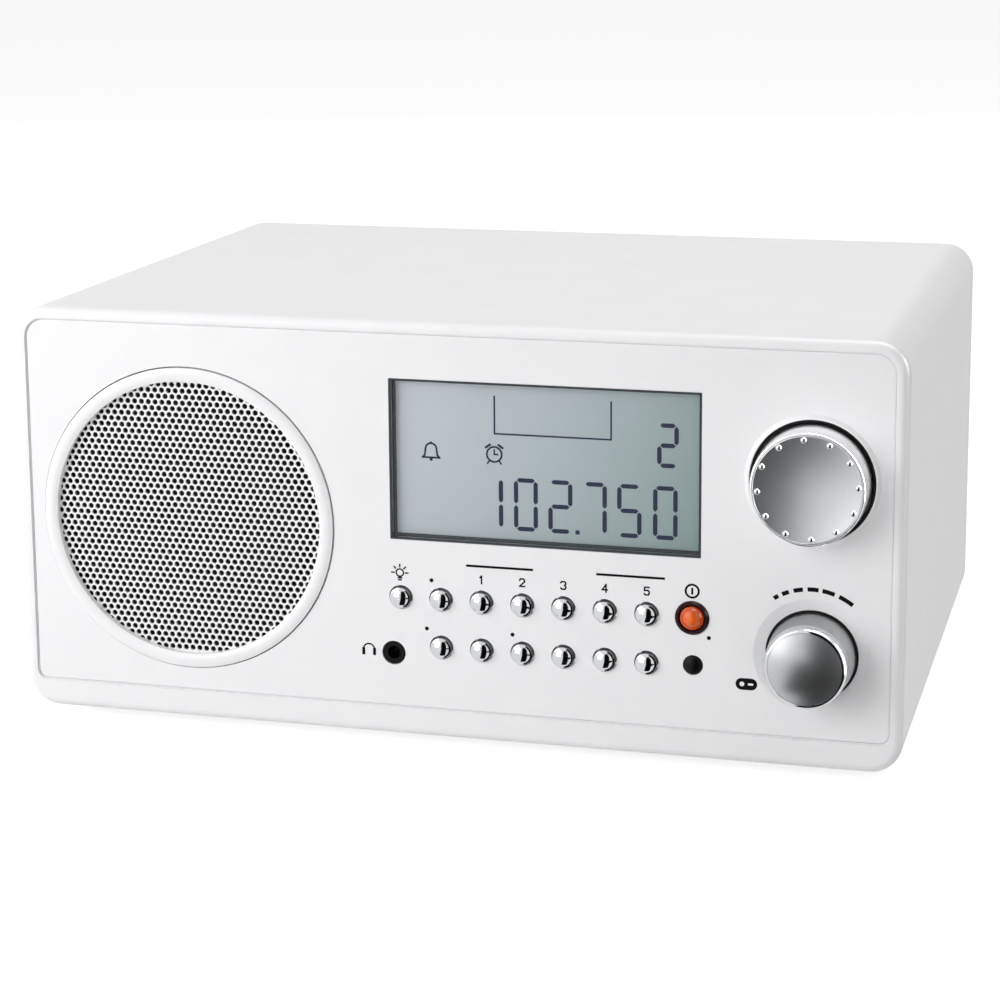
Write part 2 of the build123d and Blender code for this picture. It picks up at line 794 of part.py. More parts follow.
def make_speaker_surround():
    """Half-roll rubber edge between the frame's flange and the cone."""
    back = speaker_seat_y
    front = back - surround_thickness
    middle = (roll_outer + roll_inner) / 2
    inner_roll = surround_roll - surround_thickness
    top = Polyline((surround_outer, back), (surround_outer, front), (roll_outer, front))
    over = ThreePointArc((roll_outer, front), (middle, front - surround_roll), (roll_inner, front))
    lip = Polyline((roll_inner, front), (roll_inner, back), (roll_inner + surround_thickness, back))
    start = (roll_inner + surround_thickness, back)
    end = (roll_outer - surround_thickness, back)
    under = ThreePointArc(start, (middle, back - surround_thickness - inner_roll), end)
    return turned(speaker_x, speaker_z, top, over, lip, under, Line(end, (surround_outer, back)))


def make_speaker_spider():
    """Corrugated disc that centres the coil on the frame's shelf."""
    lean = (surround_outer - frame_rear_radius) / frame_depth
    outer = surround_outer - lean * spider_shelf_depth - grille_clearance
    inner = coil_radius + cone_clearance
    land = outer - spider_shelf_width + grille_clearance
    waves = 4
    step = (land - inner) / waves
    back = frame_shelf_y
    ridge = [(land - number * step, back - (number % 2) * spider_wave) for number in range(waves + 1)]
    lower = [(outer, back)] + ridge
    upper = [(radius, y - spider_thickness) for radius, y in reversed(lower)]
    return turned_points(speaker_x, speaker_z, *lower, *upper)


def cone_line():
    """Radius and depth of the cone's front surface at its edge and its neck."""
    edge = (cone_radius, speaker_seat_y - surround_thickness)
    neck = (coil_radius + glue_gap, speaker_seat_y - surround_thickness + cone_depth)
    return edge, neck


def make_speaker_cone():
    (edge_radius, edge_y), (neck_radius, neck_y) = cone_line()
    return turned_points(speaker_x, speaker_z, (edge_radius, edge_y), (neck_radius, neck_y),
                         (neck_radius, neck_y + cone_thickness), (edge_radius, edge_y + cone_thickness))


def make_dust_cap():
    (edge_radius, edge_y), (neck_radius, neck_y) = cone_line()
    slope = (neck_y - edge_y) / (edge_radius - neck_radius)
    seat_y = neck_y - (dust_cap_radius - neck_radius) * slope - glue_gap
    edge = (dust_cap_radius, seat_y)
    crown = (0, seat_y - dust_cap_rise)
    inner_edge = (dust_cap_radius - cone_thickness, seat_y)
    inner_crown = (0, crown[1] + cone_thickness)
    return turned(speaker_x, speaker_z, dome(edge, crown), Line(crown, inner_crown),
                  dome(inner_edge, inner_crown), Line(inner_edge, edge))


def make_voice_coil():
    neck_y = cone_line()[1][1]
    tube = rod(speaker_x, speaker_z, neck_y, neck_y + coil_length, coil_radius)
    return tube - rod(speaker_x, speaker_z, neck_y, neck_y + coil_length, coil_radius - coil_wall)


# Display

def display_rectangle(inset):
    width = display_width - 2 * inset
    return Pos(display_x, display_z) * Rectangle(width, display_tall - 2 * inset)


def make_display_frame():
    """Dark tunnel in the panel's opening, and the holder behind it for the glass and its light."""
    rim_y = face_y + display_recess
    glass_y = face_y + glass_depth
    rebate = display_gap + display_wall
    window_back_y = rim_y + window_thickness
    holder_outer = -(glass_margin + holder_margin)
    frame = slab(display_rectangle(display_gap), rim_y, panel_back_y)
    frame += slab(display_rectangle(holder_outer), panel_back_y, board_front_y)
    frame -= slab(display_rectangle(rebate), rim_y, window_back_y)
    near = facing(window_back_y) * display_rectangle(rebate + window_seat)
    far = facing(glass_y) * display_rectangle(rebate + window_seat + display_draft)
    frame -= loft([near.faces()[0], far.faces()[0]])
    frame -= slab(display_rectangle(-glass_margin - holder_clearance), glass_y, board_front_y)
    return frame


def make_display_window():
    rim_y = face_y + display_recess
    outline = display_rectangle(display_gap + display_wall + window_clearance)
    return slab(outline, rim_y, rim_y + window_thickness)


def make_display_glass():
    glass_y = face_y + glass_depth
    return slab(display_rectangle(-glass_margin), glass_y, glass_y + glass_thickness)


def make_display_light():
    """Light guide behind the glass, seated on the board."""
    return slab(display_rectangle(-glass_margin), face_y + glass_depth + glass_thickness, board_front_y)


# Buttons, lamp and front board

def button(x, z, radius, proud, rim_proud, flange_radius, flange_y):
    """Domed cap with a flat rim, a flange behind the panel and a stem into its switch."""
    rim = (radius, face_y - rim_proud + key_rim_slope)
    edge = (radius - key_rim_width, face_y - rim_proud)
    crown = (0, face_y - proud)
    back = flange_y + key_flange_thickness
    stem_end = board_front_y - switch_height + stem_engagement
    sides = Polyline(crown, (0, stem_end), (stem_radius, stem_end), (stem_radius, back),
                     (flange_radius, back), (flange_radius, flange_y), (radius, flange_y), rim, edge)
    return turned(x, z, sides, dome(edge, crown))


def make_key(column, row):
    x, z = key_centre(column, row)
    return button(x, z, key_radius, key_proud, key_rim_proud, key_radius + key_flange_width,
                  panel_back_y + key_play)


def make_power_button():
    return button(power_x, power_z, power_radius, power_proud, power_rim_proud,
                  power_radius + key_flange_width, panel_back_y + key_flange_thickness + key_play)


def make_power_bezel():
    inner = bezel_radius - bezel_wall
    flange = bezel_radius + bezel_flange_width
    back = panel_back_y + key_flange_thickness
    front = face_y - bezel_proud
    return turned_points(power_x, power_z, (inner, back), (inner, front + bezel_lip),
                         (inner + bezel_lip, front), (bezel_radius - bezel_bevel, front),
                         (bezel_radius, front + bezel_bevel), (bezel_radius, panel_back_y),
                         (flange, panel_back_y), (flange, back))


def switch_places():
    return [key_centre(*place) for place in key_places.values()] + [(power_x, power_z)]


def make_key_switches():
    switches = []
    front = board_front_y - switch_height
    half = switch_side / 2
    for x, z in switch_places():
        body = block(x - half, x + half, front, board_front_y, z - half, z + half)
        bore = rod(x, z, front, front + switch_bore_depth, stem_radius + switch_bore_clearance)
        switches.append(body - bore)
    return group(switches)


def make_key_board():
    width = board_right - board_left
    height = board_high - board_low
    middle = Pos((board_left + board_right) / 2, floor_z + (board_low + board_high) / 2)
    outline = middle * RectangleRounded(width, height, 2)
    holes = [Pos(x, z) * Circle(screw_radius + pass_clearance) for x, z in board_post_places()]
    holes += [Pos(headphone_x, headphone_z) * Circle(jack_radius + jack_tip_clearance)]
    return slab(outline - holes, board_front_y, board_back_y)


def make_headphone_socket():
    half = jack_body_side / 2
    body = block(headphone_x - half, headphone_x + half, panel_back_y, board_front_y,
                 headphone_z - half, headphone_z + half)
    front = face_y + jack_collar_recess
    body += rod(headphone_x, headphone_z, front, panel_back_y, jack_collar_radius)
    return body - rod(headphone_x, headphone_z, front, board_front_y, jack_radius)


def make_sensor_lens():
    flange = sensor_radius + sensor_flange_width
    back = panel_back_y + key_flange_thickness
    edge = (sensor_radius, face_y)
    crown = (0, face_y - sensor_proud)
    sides = Polyline(crown, (0, board_front_y), (sensor_guide_radius, board_front_y),
                     (sensor_guide_radius, back), (flange, back), (flange, panel_back_y),
                     (sensor_radius, panel_back_y), edge)
    return turned(sensor_x, sensor_z, sides, dome(edge, crown))


# Knobs and their encoders

def make_encoder(x, z):
    """Rotary encoder: square body on the board and a threaded bushing through the panel."""
    body = block(x - encoder_width / 2, x + encoder_width / 2, encoder_front_y, board_front_y,
                 z - encoder_height / 2, z + encoder_height / 2)
    body += rod(x, z, face_y, encoder_front_y, bushing_radius)
    bore = shaft_radius + shaft_running_clearance
    return body - rod(x, z, face_y, board_front_y - encoder_back_wall, bore)


def make_encoder_nuts():
    nuts = []
    for x, z in ((tuning_x, tuning_z), (volume_x, volume_z)):
        outline = Pos(x, z) * (RegularPolygon(nut_flats / 2, 6, major_radius=False)
                               - Circle(bushing_radius + thread_clearance))
        nuts.append(slab(outline, panel_back_y - nut_thickness, panel_back_y))
    return group(nuts)


def flat_cut(x, z, y_front, y_back, clearance):
    """What a D-shaped shaft lacks beyond its flat."""
    low = z + shaft_flat + clearance
    return block(x - shaft_radius - 1, x + shaft_radius + 1, y_front, y_back, low, low + 2 * shaft_radius)


def make_shaft(x, z, tip_y, hub_y):
    """Shaft with a flat where the knob's hub grips it."""
    shaft = rod(x, z, tip_y, encoder_front_y + shaft_in_body, shaft_radius)
    return shaft - flat_cut(x, z, tip_y, hub_y, 0)


def knob_bore(x, z, tip_y, hub_y):
    """Blind D-shaped hole in a hub, with its clearance round the shaft."""
    bore = rod(x, z, tip_y - knob_bore_clearance, hub_y, shaft_radius + knob_bore_clearance)
    return bore - flat_cut(x, z, tip_y - 1, hub_y + 1, knob_bore_clearance)


def tuning_levels():
    """Depths of the tuning knob: face, cap seat, shaft tip, inside of its top, hub end and base."""
    face = face_y - tuning_proud
    cap_seat = face + tuning_cap_thickness
    tip = cap_seat + 1.2
    under_top = face + tuning_cap_thickness + tuning_top
    hub = face_y - tuning_hub_gap
    base = panel_back_y - tuning_floor_gap
    return face, cap_seat, tip, under_top, hub, base


def make_tuning_knob():
    face, cap_seat, tip, under_top, hub, base = tuning_levels()
    cap_radius = tuning_face_radius - tuning_cap_inset
    inside = tuning_face_radius - tuning_wall
    rim_top = (tuning_face_radius - tuning_rim_round, face)
    rim_side = (tuning_face_radius, face + tuning_rim_round)
    rim = Polyline((0, cap_seat), (cap_radius, cap_seat), (cap_radius, face), rim_top)
    edge = RadiusArc(rim_top, rim_side, -tuning_rim_round)
    side = Polyline(rim_side, (tuning_radius, face_y - 1), (tuning_radius, base),
                    (inside, base), (inside, under_top), (hub_radius, under_top), (hub_radius, hub),
                    (0, hub), (0, cap_seat))
    knob = turned(tuning_x, tuning_z, rim, edge, side)
    return knob - knob_bore(tuning_x, tuning_z, tip, hub)


def make_tuning_cap():
    """Spun aluminium disc let into the knob's face, with a ring of finger bumps."""
    face, cap_seat = tuning_levels()[:2]
    radius = tuning_face_radius - tuning_cap_inset - tuning_cap_clearance
    rim = radius - tuning_cap_land
    half_way = (rim / 2, face + 0.75 * tuning_cap_hollow)
    dished = ThreePointArc((0, face + tuning_cap_hollow), half_way, (rim, face))
    rest = Polyline((rim, face), (radius, face + tuning_cap_chamfer), (radius, cap_seat), (0, cap_seat),
                    (0, face + tuning_cap_hollow))
    cap = turned(tuning_x, tuning_z, dished, rest)
    bump_circle = tuning_face_radius - tuning_cap_inset - tuning_bump_inset
    top = face - tuning_bump_proud
    shoulder = top + tuning_bump_rise
    middle_y = (face + tuning_cap_hollow + cap_seat) / 2
    for x, z in around(bump_circle, tuning_bumps, tuning_bump_first):
        edge = (tuning_bump_radius, shoulder)
        sides = Polyline((0, top), (0, middle_y), (tuning_bump_radius, middle_y), edge)
        cap += turned(tuning_x + x, tuning_z + z, sides, dome(edge, (0, top)))
    return cap


def make_tuning_shaft():
    face, cap_seat, tip, under_top, hub, base = tuning_levels()
    return make_shaft(tuning_x, tuning_z, tip, hub)


def volume_levels():
    """Depths of the volume knob: crown, cap edge, bevel end, shaft tip, inside top, hub end and base."""
    crown = face_y - volume_proud
    cap_edge = crown + volume_crown
    bevel = cap_edge + volume_bevel
    tip = crown + volume_top - 2
    under_top = crown + volume_top
    hub = face_y - volume_hub_gap
    base = panel_back_y - volume_floor_gap
    return crown, cap_edge, bevel, tip, under_top, hub, base


def make_volume_knob():
    crown, cap_edge, bevel, tip, under_top, hub, base = volume_levels()
    inside = volume_neck_radius - volume_wall
    bevel_line = Line((volume_cap_radius, cap_edge), (volume_neck_radius, bevel))
    side = Polyline((volume_neck_radius, bevel), (volume_radius, face_y - volume_skirt + 2),
                    (volume_radius, base), (inside, base), (inside, under_top), (hub_radius, under_top),
                    (hub_radius, hub), (0, hub), (0, crown))
    knob = turned(volume_x, volume_z, dome((volume_cap_radius, cap_edge), (0, crown)), bevel_line, side)
    return knob - knob_bore(volume_x, volume_z, tip, hub)


def make_volume_shaft():
    crown, cap_edge, bevel, tip, under_top, hub, base = volume_levels()
    return make_shaft(volume_x, volume_z, tip, hub)


def make_volume_plunger():
    """Plunger of the push switch behind the volume shaft: it slides with the shaft and doesn't turn."""
    front = encoder_front_y + shaft_in_body
    radius = shaft_radius + shaft_running_clearance - plunger_clearance
    return rod(volume_x, volume_z, front, front + plunger_thickness, radius)


# Electronics and rear sockets

def make_main_board():
    board = block(main_x - main_width / 2, main_right, main_front_y, main_rear_y,
                  main_low_z, main_top_z)
    return board - [post(x, y, main_low_z, main_top_z, screw_radius + pass_clearance)
                    for x, y in main_post_places()]


def make_tuner_can():
    """Folded tin screen over the receiver, with a row of trimming holes in its lid."""
    x = main_x - main_width / 4
    y = main_front_y + main_depth / 2
    can = block(x - can_width / 2, x + can_width / 2, y - can_depth / 2, y + can_depth / 2,
                main_top_z, main_top_z + can_height)
    can -= block(x - can_width / 2 + can_wall, x + can_width / 2 - can_wall, y - can_depth / 2 + can_wall,
                 y + can_depth / 2 - can_wall, main_top_z, main_top_z + can_height - can_wall)
    return can - [post(x + step * can_width / 5, y, main_top_z, main_top_z + can_height, 1.5)
                  for step in (-1, 0, 1)]


def make_capacitors():
    y = main_front_y + main_depth / 3
    first_x = main_x + capacitor_start
    return group(post(first_x + number * capacitor_pitch, y, main_top_z, main_top_z + height, radius)
                 for number, (radius, height) in enumerate(capacitor_sizes))


def make_heat_sink():
    x = main_x + main_width / 4
    y = main_front_y + main_depth * 0.6
    half = sink_width / 2
    sink = block(x - half, x + half, y, y + sink_base, main_top_z, main_top_z + sink_height)
    pitch = (sink_width - sink_fin_thickness) / (sink_fins - 1)
    for number in range(sink_fins):
        left = x - half + number * pitch
        sink += block(left, left + sink_fin_thickness, y - sink_fin_length, y,
                      main_top_z, main_top_z + sink_height)
    return sink


def socket_body(x, width):
    """Moulded body on the main board against the rear panel's inside."""
    return block(x - width / 2, x + width / 2, rear_seat_y - rear_jack_depth, rear_seat_y,
                 main_top_z, jack_z + width / 2)


def make_rear_jacks():
    """Two like sockets for 3.5 mm plugs: auxiliary in and line out."""
    jacks = []
    for x in (aux_x, line_out_x):
        jack = socket_body(x, rear_jack_width)
        jack += rod(x, jack_z, rear_seat_y, rear_face_y - jack_collar_recess, jack_collar_radius)
        jack -= rod(x, jack_z, rear_seat_y - rear_jack_depth, rear_face_y, jack_radius)
        jacks.append(jack)
    return group(jacks)


def make_dc_socket():
    socket = socket_body(dc_x, dc_width)
    socket += rod(dc_x, jack_z, rear_seat_y, rear_face_y - jack_collar_recess, dc_radius + 1)
    socket -= rod(dc_x, jack_z, rear_face_y - dc_bore_depth, rear_face_y, dc_radius)
    return socket + rod(dc_x, jack_z, rear_face_y - dc_bore_depth, rear_face_y - 1.5, dc_pin_radius)


def make_aerial_socket():
    """Threaded coaxial socket, flanged inside the rear panel and held by its nut outside."""
    bore_front = rear_seat_y - aerial_flange_thickness + aerial_floor
    socket = rod(aerial_x, aerial_z, rear_seat_y - aerial_flange_thickness, rear_seat_y, aerial_flange_radius)
    socket += rod(aerial_x, aerial_z, rear_seat_y, aerial_end_y, aerial_shank)
    socket += rod(aerial_x, aerial_z, aerial_thread_y, aerial_end_y, aerial_radius)
    return socket - rod(aerial_x, aerial_z, bore_front, aerial_end_y, aerial_bore_radius)


def make_aerial_nut():
    outline = RegularPolygon(aerial_nut_flats / 2, 6, major_radius=False)
    outline -= Circle(aerial_shank + thread_clearance)
    return slab(Pos(aerial_x, aerial_z) * outline, rear_face_y, rear_face_y + aerial_nut_thickness)


def along_x(x_low, x_high, radius):
    """A cylinder along X on the ferrite rod's axis."""
    plane = Plane(origin=(x_low, rod_y, rod_z), x_dir=(0, 1, 0), z_dir=(1, 0, 0))
    return plane * Cylinder(radius, x_high - x_low, align=FROM_BACK)


def make_ferrite_rod():
    return along_x(-rod_length / 2, rod_length / 2, rod_radius)


def make_ferrite_coil():
    start = -winding_length / 2
    outer = along_x(start, -start, rod_radius + rod_clearance + winding_wall)
    return outer - along_x(start, -start, rod_radius + rod_clearance)


def make_ferrite_holders():
    """Two blocks glued under the roof that carry the rod."""
    holders = []
    for side in (-1, 1):
        x = side * holder_span / 2
        holder = block(x - holder_thickness / 2, x + holder_thickness / 2, rod_y - holder_side / 2,
                       rod_y + holder_side / 2, rod_z - holder_side / 2, inside_roof_z)
        bore = along_x(x - holder_thickness, x + holder_thickness, rod_radius + rod_clearance)
        holders.append(holder - bore)
    return group(holders)


def make_pieces():
    """Every node of the radio by name."""
    pieces = {
        "cabinet_shell": make_cabinet_shell(),
        "front_panel": make_front_panel(),
        "rear_panel": make_rear_panel(),
        "rubber_feet": make_rubber_feet(),
        "inner_screws": make_inner_screws(),
        "speaker_screws": make_speaker_screws(),
        "rear_screws": make_rear_screws(),
        "grille_ring": make_grille_ring(),
        "speaker_grille": make_speaker_grille(),
        "speaker_gasket": make_speaker_gasket(),
        "speaker_frame": make_speaker_frame(),
        "speaker_magnet": make_speaker_magnet(),
        "speaker_surround": make_speaker_surround(),
        "speaker_spider": make_speaker_spider(),
        "speaker_cone": make_speaker_cone(),
        "dust_cap": make_dust_cap(),
        "voice_coil": make_voice_coil(),
        "display_frame": make_display_frame(),
        "display_window": make_display_window(),
        "display_glass": make_display_glass(),
        "display_light": make_display_light(),
        "power_button": make_power_button(),
        "power_bezel": make_power_bezel(),
        "key_switches": make_key_switches(),
        "key_board": make_key_board(),
        "headphone_socket": make_headphone_socket(),
        "sensor_lens": make_sensor_lens(),
        "tuning_encoder": make_encoder(tuning_x, tuning_z),
        "volume_encoder": make_encoder(volume_x, volume_z),
        "encoder_nuts": make_encoder_nuts(),
        "tuning_knob": make_tuning_knob(),
        "tuning_cap": make_tuning_cap(),
        "tuning_shaft": make_tuning_shaft(),
        "volume_knob": make_volume_knob(),
        "volume_shaft": make_volume_shaft(),
        "volume_plunger": make_volume_plunger(),
        "main_board": make_main_board(),
        "tuner_can": make_tuner_can(),
        "capacitors": make_capacitors(),
        "heat_sink": make_heat_sink(),
        "rear_jacks": make_rear_jacks(),
        "dc_socket": make_dc_socket(),
        "aerial_socket": make_aerial_socket(),
        "aerial_nut": make_aerial_nut(),
        "ferrite_rod": make_ferrite_rod(),
        "ferrite_coil": make_ferrite_coil(),
        "ferrite_holders": make_ferrite_holders(),
    }
    for name, place in key_places.items():
        pieces[name] = make_key(*place)
    return pieces


def main():
    os.makedirs("parts", exist_ok=True)
    for name, piece in make_pieces().items():
        export_step(piece, os.path.join("parts", name + ".step"))


if __name__ == "__main__":
    main()
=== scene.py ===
import json
import math
import bmesh
import bpy
from mathutils import Matrix, Vector
from mathutils.geometry import delaunay_2d_cdt


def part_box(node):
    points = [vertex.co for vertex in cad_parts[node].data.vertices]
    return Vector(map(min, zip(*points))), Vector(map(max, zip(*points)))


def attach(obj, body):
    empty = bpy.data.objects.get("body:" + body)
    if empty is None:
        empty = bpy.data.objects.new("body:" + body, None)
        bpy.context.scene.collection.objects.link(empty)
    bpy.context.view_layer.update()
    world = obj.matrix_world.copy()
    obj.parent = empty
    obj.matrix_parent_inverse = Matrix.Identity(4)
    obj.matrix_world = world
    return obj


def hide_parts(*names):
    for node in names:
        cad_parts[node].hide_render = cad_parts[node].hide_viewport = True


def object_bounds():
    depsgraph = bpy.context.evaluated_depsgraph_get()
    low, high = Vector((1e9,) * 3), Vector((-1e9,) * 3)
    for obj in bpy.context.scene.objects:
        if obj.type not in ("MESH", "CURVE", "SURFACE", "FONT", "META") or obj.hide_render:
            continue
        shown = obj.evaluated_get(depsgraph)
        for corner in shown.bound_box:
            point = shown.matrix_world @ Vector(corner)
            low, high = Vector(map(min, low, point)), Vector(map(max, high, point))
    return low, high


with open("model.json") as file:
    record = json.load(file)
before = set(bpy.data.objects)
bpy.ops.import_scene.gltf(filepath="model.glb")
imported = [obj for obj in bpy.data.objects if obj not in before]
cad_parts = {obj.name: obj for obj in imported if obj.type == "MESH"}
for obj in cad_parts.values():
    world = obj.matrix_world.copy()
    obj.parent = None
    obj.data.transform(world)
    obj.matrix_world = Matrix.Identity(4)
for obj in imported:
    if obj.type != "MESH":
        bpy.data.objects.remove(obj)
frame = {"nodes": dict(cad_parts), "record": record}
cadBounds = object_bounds()
nodes = frame["nodes"]
mm = 0.001


def centreOf(node):
    low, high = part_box(node)
    return (low + high) / 2


# Planes and axes that the pieces below are built on
panelSetback = 0.5  # millimetres from the rim back to the front panel's face
frontPlateDepth = 2.2  # millimetres that the crystal glass's front plate stands into the frame
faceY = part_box("cabinet_shell")[0].y + panelSetback * mm
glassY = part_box("display_glass")[0].y - frontPlateDepth * mm
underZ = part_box("cabinet_shell")[0].z
speakerAxis = centreOf("grille_ring")
tuningAxis = centreOf("tuning_knob")
volumeAxis = centreOf("volume_knob")


def linearColour(code):  # sRGB hex to what a socket takes, by the standard curve
    parts = [int(code[i:i + 2], 16) / 255 for i in (1, 3, 5)]
    return [c / 12.92 if c <= 0.04045 else ((c + 0.055) / 1.055) ** 2.4 for c in parts] + [1.0]


def addNode(tree, kind, settings=(), links=()):  # sockets by name, or by number where names repeat
    node = tree.nodes.new(kind)
    for name, value in dict(settings).items():
        if isinstance(name, int) or name in node.inputs:
            node.inputs[name].default_value = value
        else:
            setattr(node, name, value)
    for name, source in dict(links).items():
        tree.links.new(source, node.inputs[name])
    return node


def newMaterial(name):
    material = bpy.data.materials.new(name)
    material.use_nodes = True
    material.node_tree.nodes.clear()
    return material, material.node_tree


def newObject(name, data):
    obj = bpy.data.objects.new(name, data)
    bpy.context.scene.collection.objects.link(obj)
    return obj


def meshObject(name, verts, faces, finish):
    mesh = bpy.data.meshes.new(name)
    mesh.from_pydata(verts, [], faces)
    mesh.validate()
    mesh.materials.append(finish)
    return newObject(name, mesh)


# Stage: plain pale floor, pale room, soft lamps, cards for gloss and the camera

stage = {
    "floorSize": 8.0,  # metres
    "floorColour": "#E6E6E6",
    "glowColour": "#FFFFFF",
    "floorGlow": 0.72,  # brings the floor up to white where it is seen, its shadow kept
    "roomColour": "#FFFFFF",
    "roomStrength": 0.26,
    "roomSeen": 1.0,  # the room as the camera and gloss see it: plain white
}


def seenDirectly(tree):  # camera rays, and those that metal and glass send on
    path = addNode(tree, "ShaderNodeLightPath")
    seen = addNode(tree, "ShaderNodeMath", {"operation": "MAXIMUM"},
                   {0: path.outputs["Is Camera Ray"], 1: path.outputs["Is Glossy Ray"]})
    return addNode(tree, "ShaderNodeMath", {"operation": "MAXIMUM"},
                   {0: seen.outputs[0], 1: path.outputs["Is Transmission Ray"]}).outputs[0]


def makeRoom(s):
    room = bpy.data.worlds.new("paleRoom")
    bpy.context.scene.world = room
    room.use_nodes = True
    tree = room.node_tree
    tree.nodes.clear()
    colour = linearColour(s["roomColour"])
    light = addNode(tree, "ShaderNodeBackground", {"Color": colour, "Strength": s["roomStrength"]})
    white = addNode(tree, "ShaderNodeBackground", {"Color": colour, "Strength": s["roomSeen"]})
    mix = addNode(tree, "ShaderNodeMixShader", {},
                  {0: seenDirectly(tree), 1: light.outputs[0], 2: white.outputs[0]})
    addNode(tree, "ShaderNodeOutputWorld", {}, {0: mix.outputs[0]})


def makeFloor(s):
    paint, tree = newMaterial("paleFloorPaint")
    dull = addNode(tree, "ShaderNodeBsdfDiffuse", {"Color": linearColour(s["floorColour"])})
    glow = addNode(tree, "ShaderNodeEmission",
                   {"Color": linearColour(s["glowColour"]), "Strength": s["floorGlow"]})
    lit = addNode(tree, "ShaderNodeAddShader", {}, {0: dull.outputs[0], 1: glow.outputs[0]})
    mix = addNode(tree, "ShaderNodeMixShader", {},
                  {0: seenDirectly(tree), 1: dull.outputs[0], 2: lit.outputs[0]})
    addNode(tree, "ShaderNodeOutputMaterial", {}, {0: mix.outputs[0]})
    h = s["floorSize"] / 2
    floor = meshObject("floor", [(-h, -h, 0), (h, -h, 0), (h, h, 0), (-h, h, 0)], [(0, 1, 2, 3)], paint)
    floor.visible_glossy = False  # gloss sees the cards and the pale room instead


lamps = {  # place, target and size in metres, power in watts; a dull lamp isn't seen in gloss
    "keySoftbox": {"place": (-0.6, -0.72, 0.34), "target": (-0.04, -0.06, 0.06),
                   "size": (0.8, 0.8), "power": 7.2, "dull": True},  # keyCard stands in for it in gloss
    "topSoftbox": {"place": (0.42, 0.1, 1.35), "target": (0.07, 0, 0.1),
                   "size": (1.0, 1.0), "power": 7.9, "dull": False},
    "frontFill": {"place": (0.75, -1.3, 0.35), "target": (0.1, -0.09, 0.05),
                  "size": (0.6, 0.5), "power": 0.5, "dull": True},
    "rearFill": {"place": (-0.4, 1.5, 0.45), "target": (0, 0.09, 0.05),
                 "size": (0.9, 0.7), "power": 4.5, "dull": True},
}


def makeLamps(settings):
    for name, s in settings.items():
        data = bpy.data.lights.new(name, "AREA")
        data.shape = "RECTANGLE"
        data.size, data.size_y = s["size"]
        data.energy = s["power"]
        lamp = newObject(name, data)
        lamp.visible_glossy = not s["dull"]
        lamp.location = s["place"]
        aim = Vector(s["target"]) - Vector(s["place"])
        lamp.rotation_euler = aim.to_track_quat("-Z", "Y").to_euler()


cards = {  # seen by gloss alone; corners in metres
    # Dark cloth to the front and below: it gives polished metal its black and satin metal its slope
    "darkCard": {"colour": "#0B0C0D", "strength": 1.0, "corners": [
        (-0.1, -2.5, 2.5), (-0.1, -2.5, 0.9), (-0.1, -2.5, -0.45), (-0.45, -2.5, -1.9),
        (-2.9, -2.5, -9.0), (2.0, -2.5, -9.0), (2.0, -2.5, 1.2), (1.2, -2.5, 2.5)]},
    # The same cloth on the table, just before the knobs
    "tableCard": {"colour": "#0B0C0D", "strength": 1.0, "corners": [
        (0.075, -0.12, 0.004), (0.025, -0.3, 0.004), (0.19, -0.3, 0.004), (0.16, -0.12, 0.004)]},
    # Face of the key softbox, toned down so that satin metal keeps its shading
    "keyCard": {"colour": "#FFFFFF", "strength": 2.4, "corners": [
        (-0.985, -0.555, -0.04), (-0.375, -1.073, -0.04), (-0.215, -0.885, 0.72), (-0.825, -0.367, 0.72)]},
    # Bright strips to the right and overhead: they line the rounded edges
    "rightCard": {"colour": "#FFFFFF", "strength": 14.0, "corners": [
        (2.9, -0.9, -1.0), (2.9, 0.7, -1.0), (2.9, 0.7, 2.0), (2.9, -0.9, 2.0)]},
    "topCard": {"colour": "#FFFFFF", "strength": 6.0, "corners": [
        (-0.4, -1.1, 3.0), (2.6, -1.1, 3.0), (2.6, 0.3, 3.0), (-0.4, 0.3, 3.0)]},
}


def makeCards(settings):
    for name, s in settings.items():
        cloth, tree = newMaterial(name + "Cloth")
        glow = addNode(tree, "ShaderNodeEmission",
                       {"Color": linearColour(s["colour"]), "Strength": s["strength"]})
        addNode(tree, "ShaderNodeOutputMaterial", {}, {0: glow.outputs[0]})
        card = meshObject(name, s["corners"], [tuple(range(len(s["corners"])))], cloth)
        card.visible_camera = False
        card.visible_diffuse = False
        card.visible_shadow = False
        card.visible_transmission = False


cameraSettings = {  # degrees, metres, and millimetres for the lens
    "azimuth": 15.34, "elevation": 10.59, "roll": -0.40,
    "distance": 0.7539,
    "aim": (-0.0086, 0.0043, 0.034),  # from the middle of the whole radio
    "lens": 93.1, "shift": -0.15,
}


def makeCamera(s):
    low, high = (Vector(corner) for corner in cadBounds)
    target = (low + high) / 2 + Vector(s["aim"])
    turn, lift, roll = (math.radians(s[angle]) for angle in ("azimuth", "elevation", "roll"))
    away = Vector((math.sin(turn) * math.cos(lift), -math.cos(turn) * math.cos(lift), math.sin(lift)))
    data = bpy.data.cameras.new("camera")
    data.lens = s["lens"]
    data.shift_y = s["shift"]
    camera = newObject("camera", data)
    camera.location = target + away * s["distance"]
    facing = (-away).to_track_quat("-Z", "Y").to_matrix()
    camera.rotation_euler = (facing @ Matrix.Rotation(roll, 3, "Z")).to_euler()
    bpy.context.scene.camera = camera


makeRoom(stage)
makeFloor(stage)
makeLamps(lamps)
makeCards(cards)
makeCamera(cameraSettings)
bpy.context.scene.view_settings.view_transform = "Standard"
print("stage set")


# Finishes: one for each thing that the real radio is made of

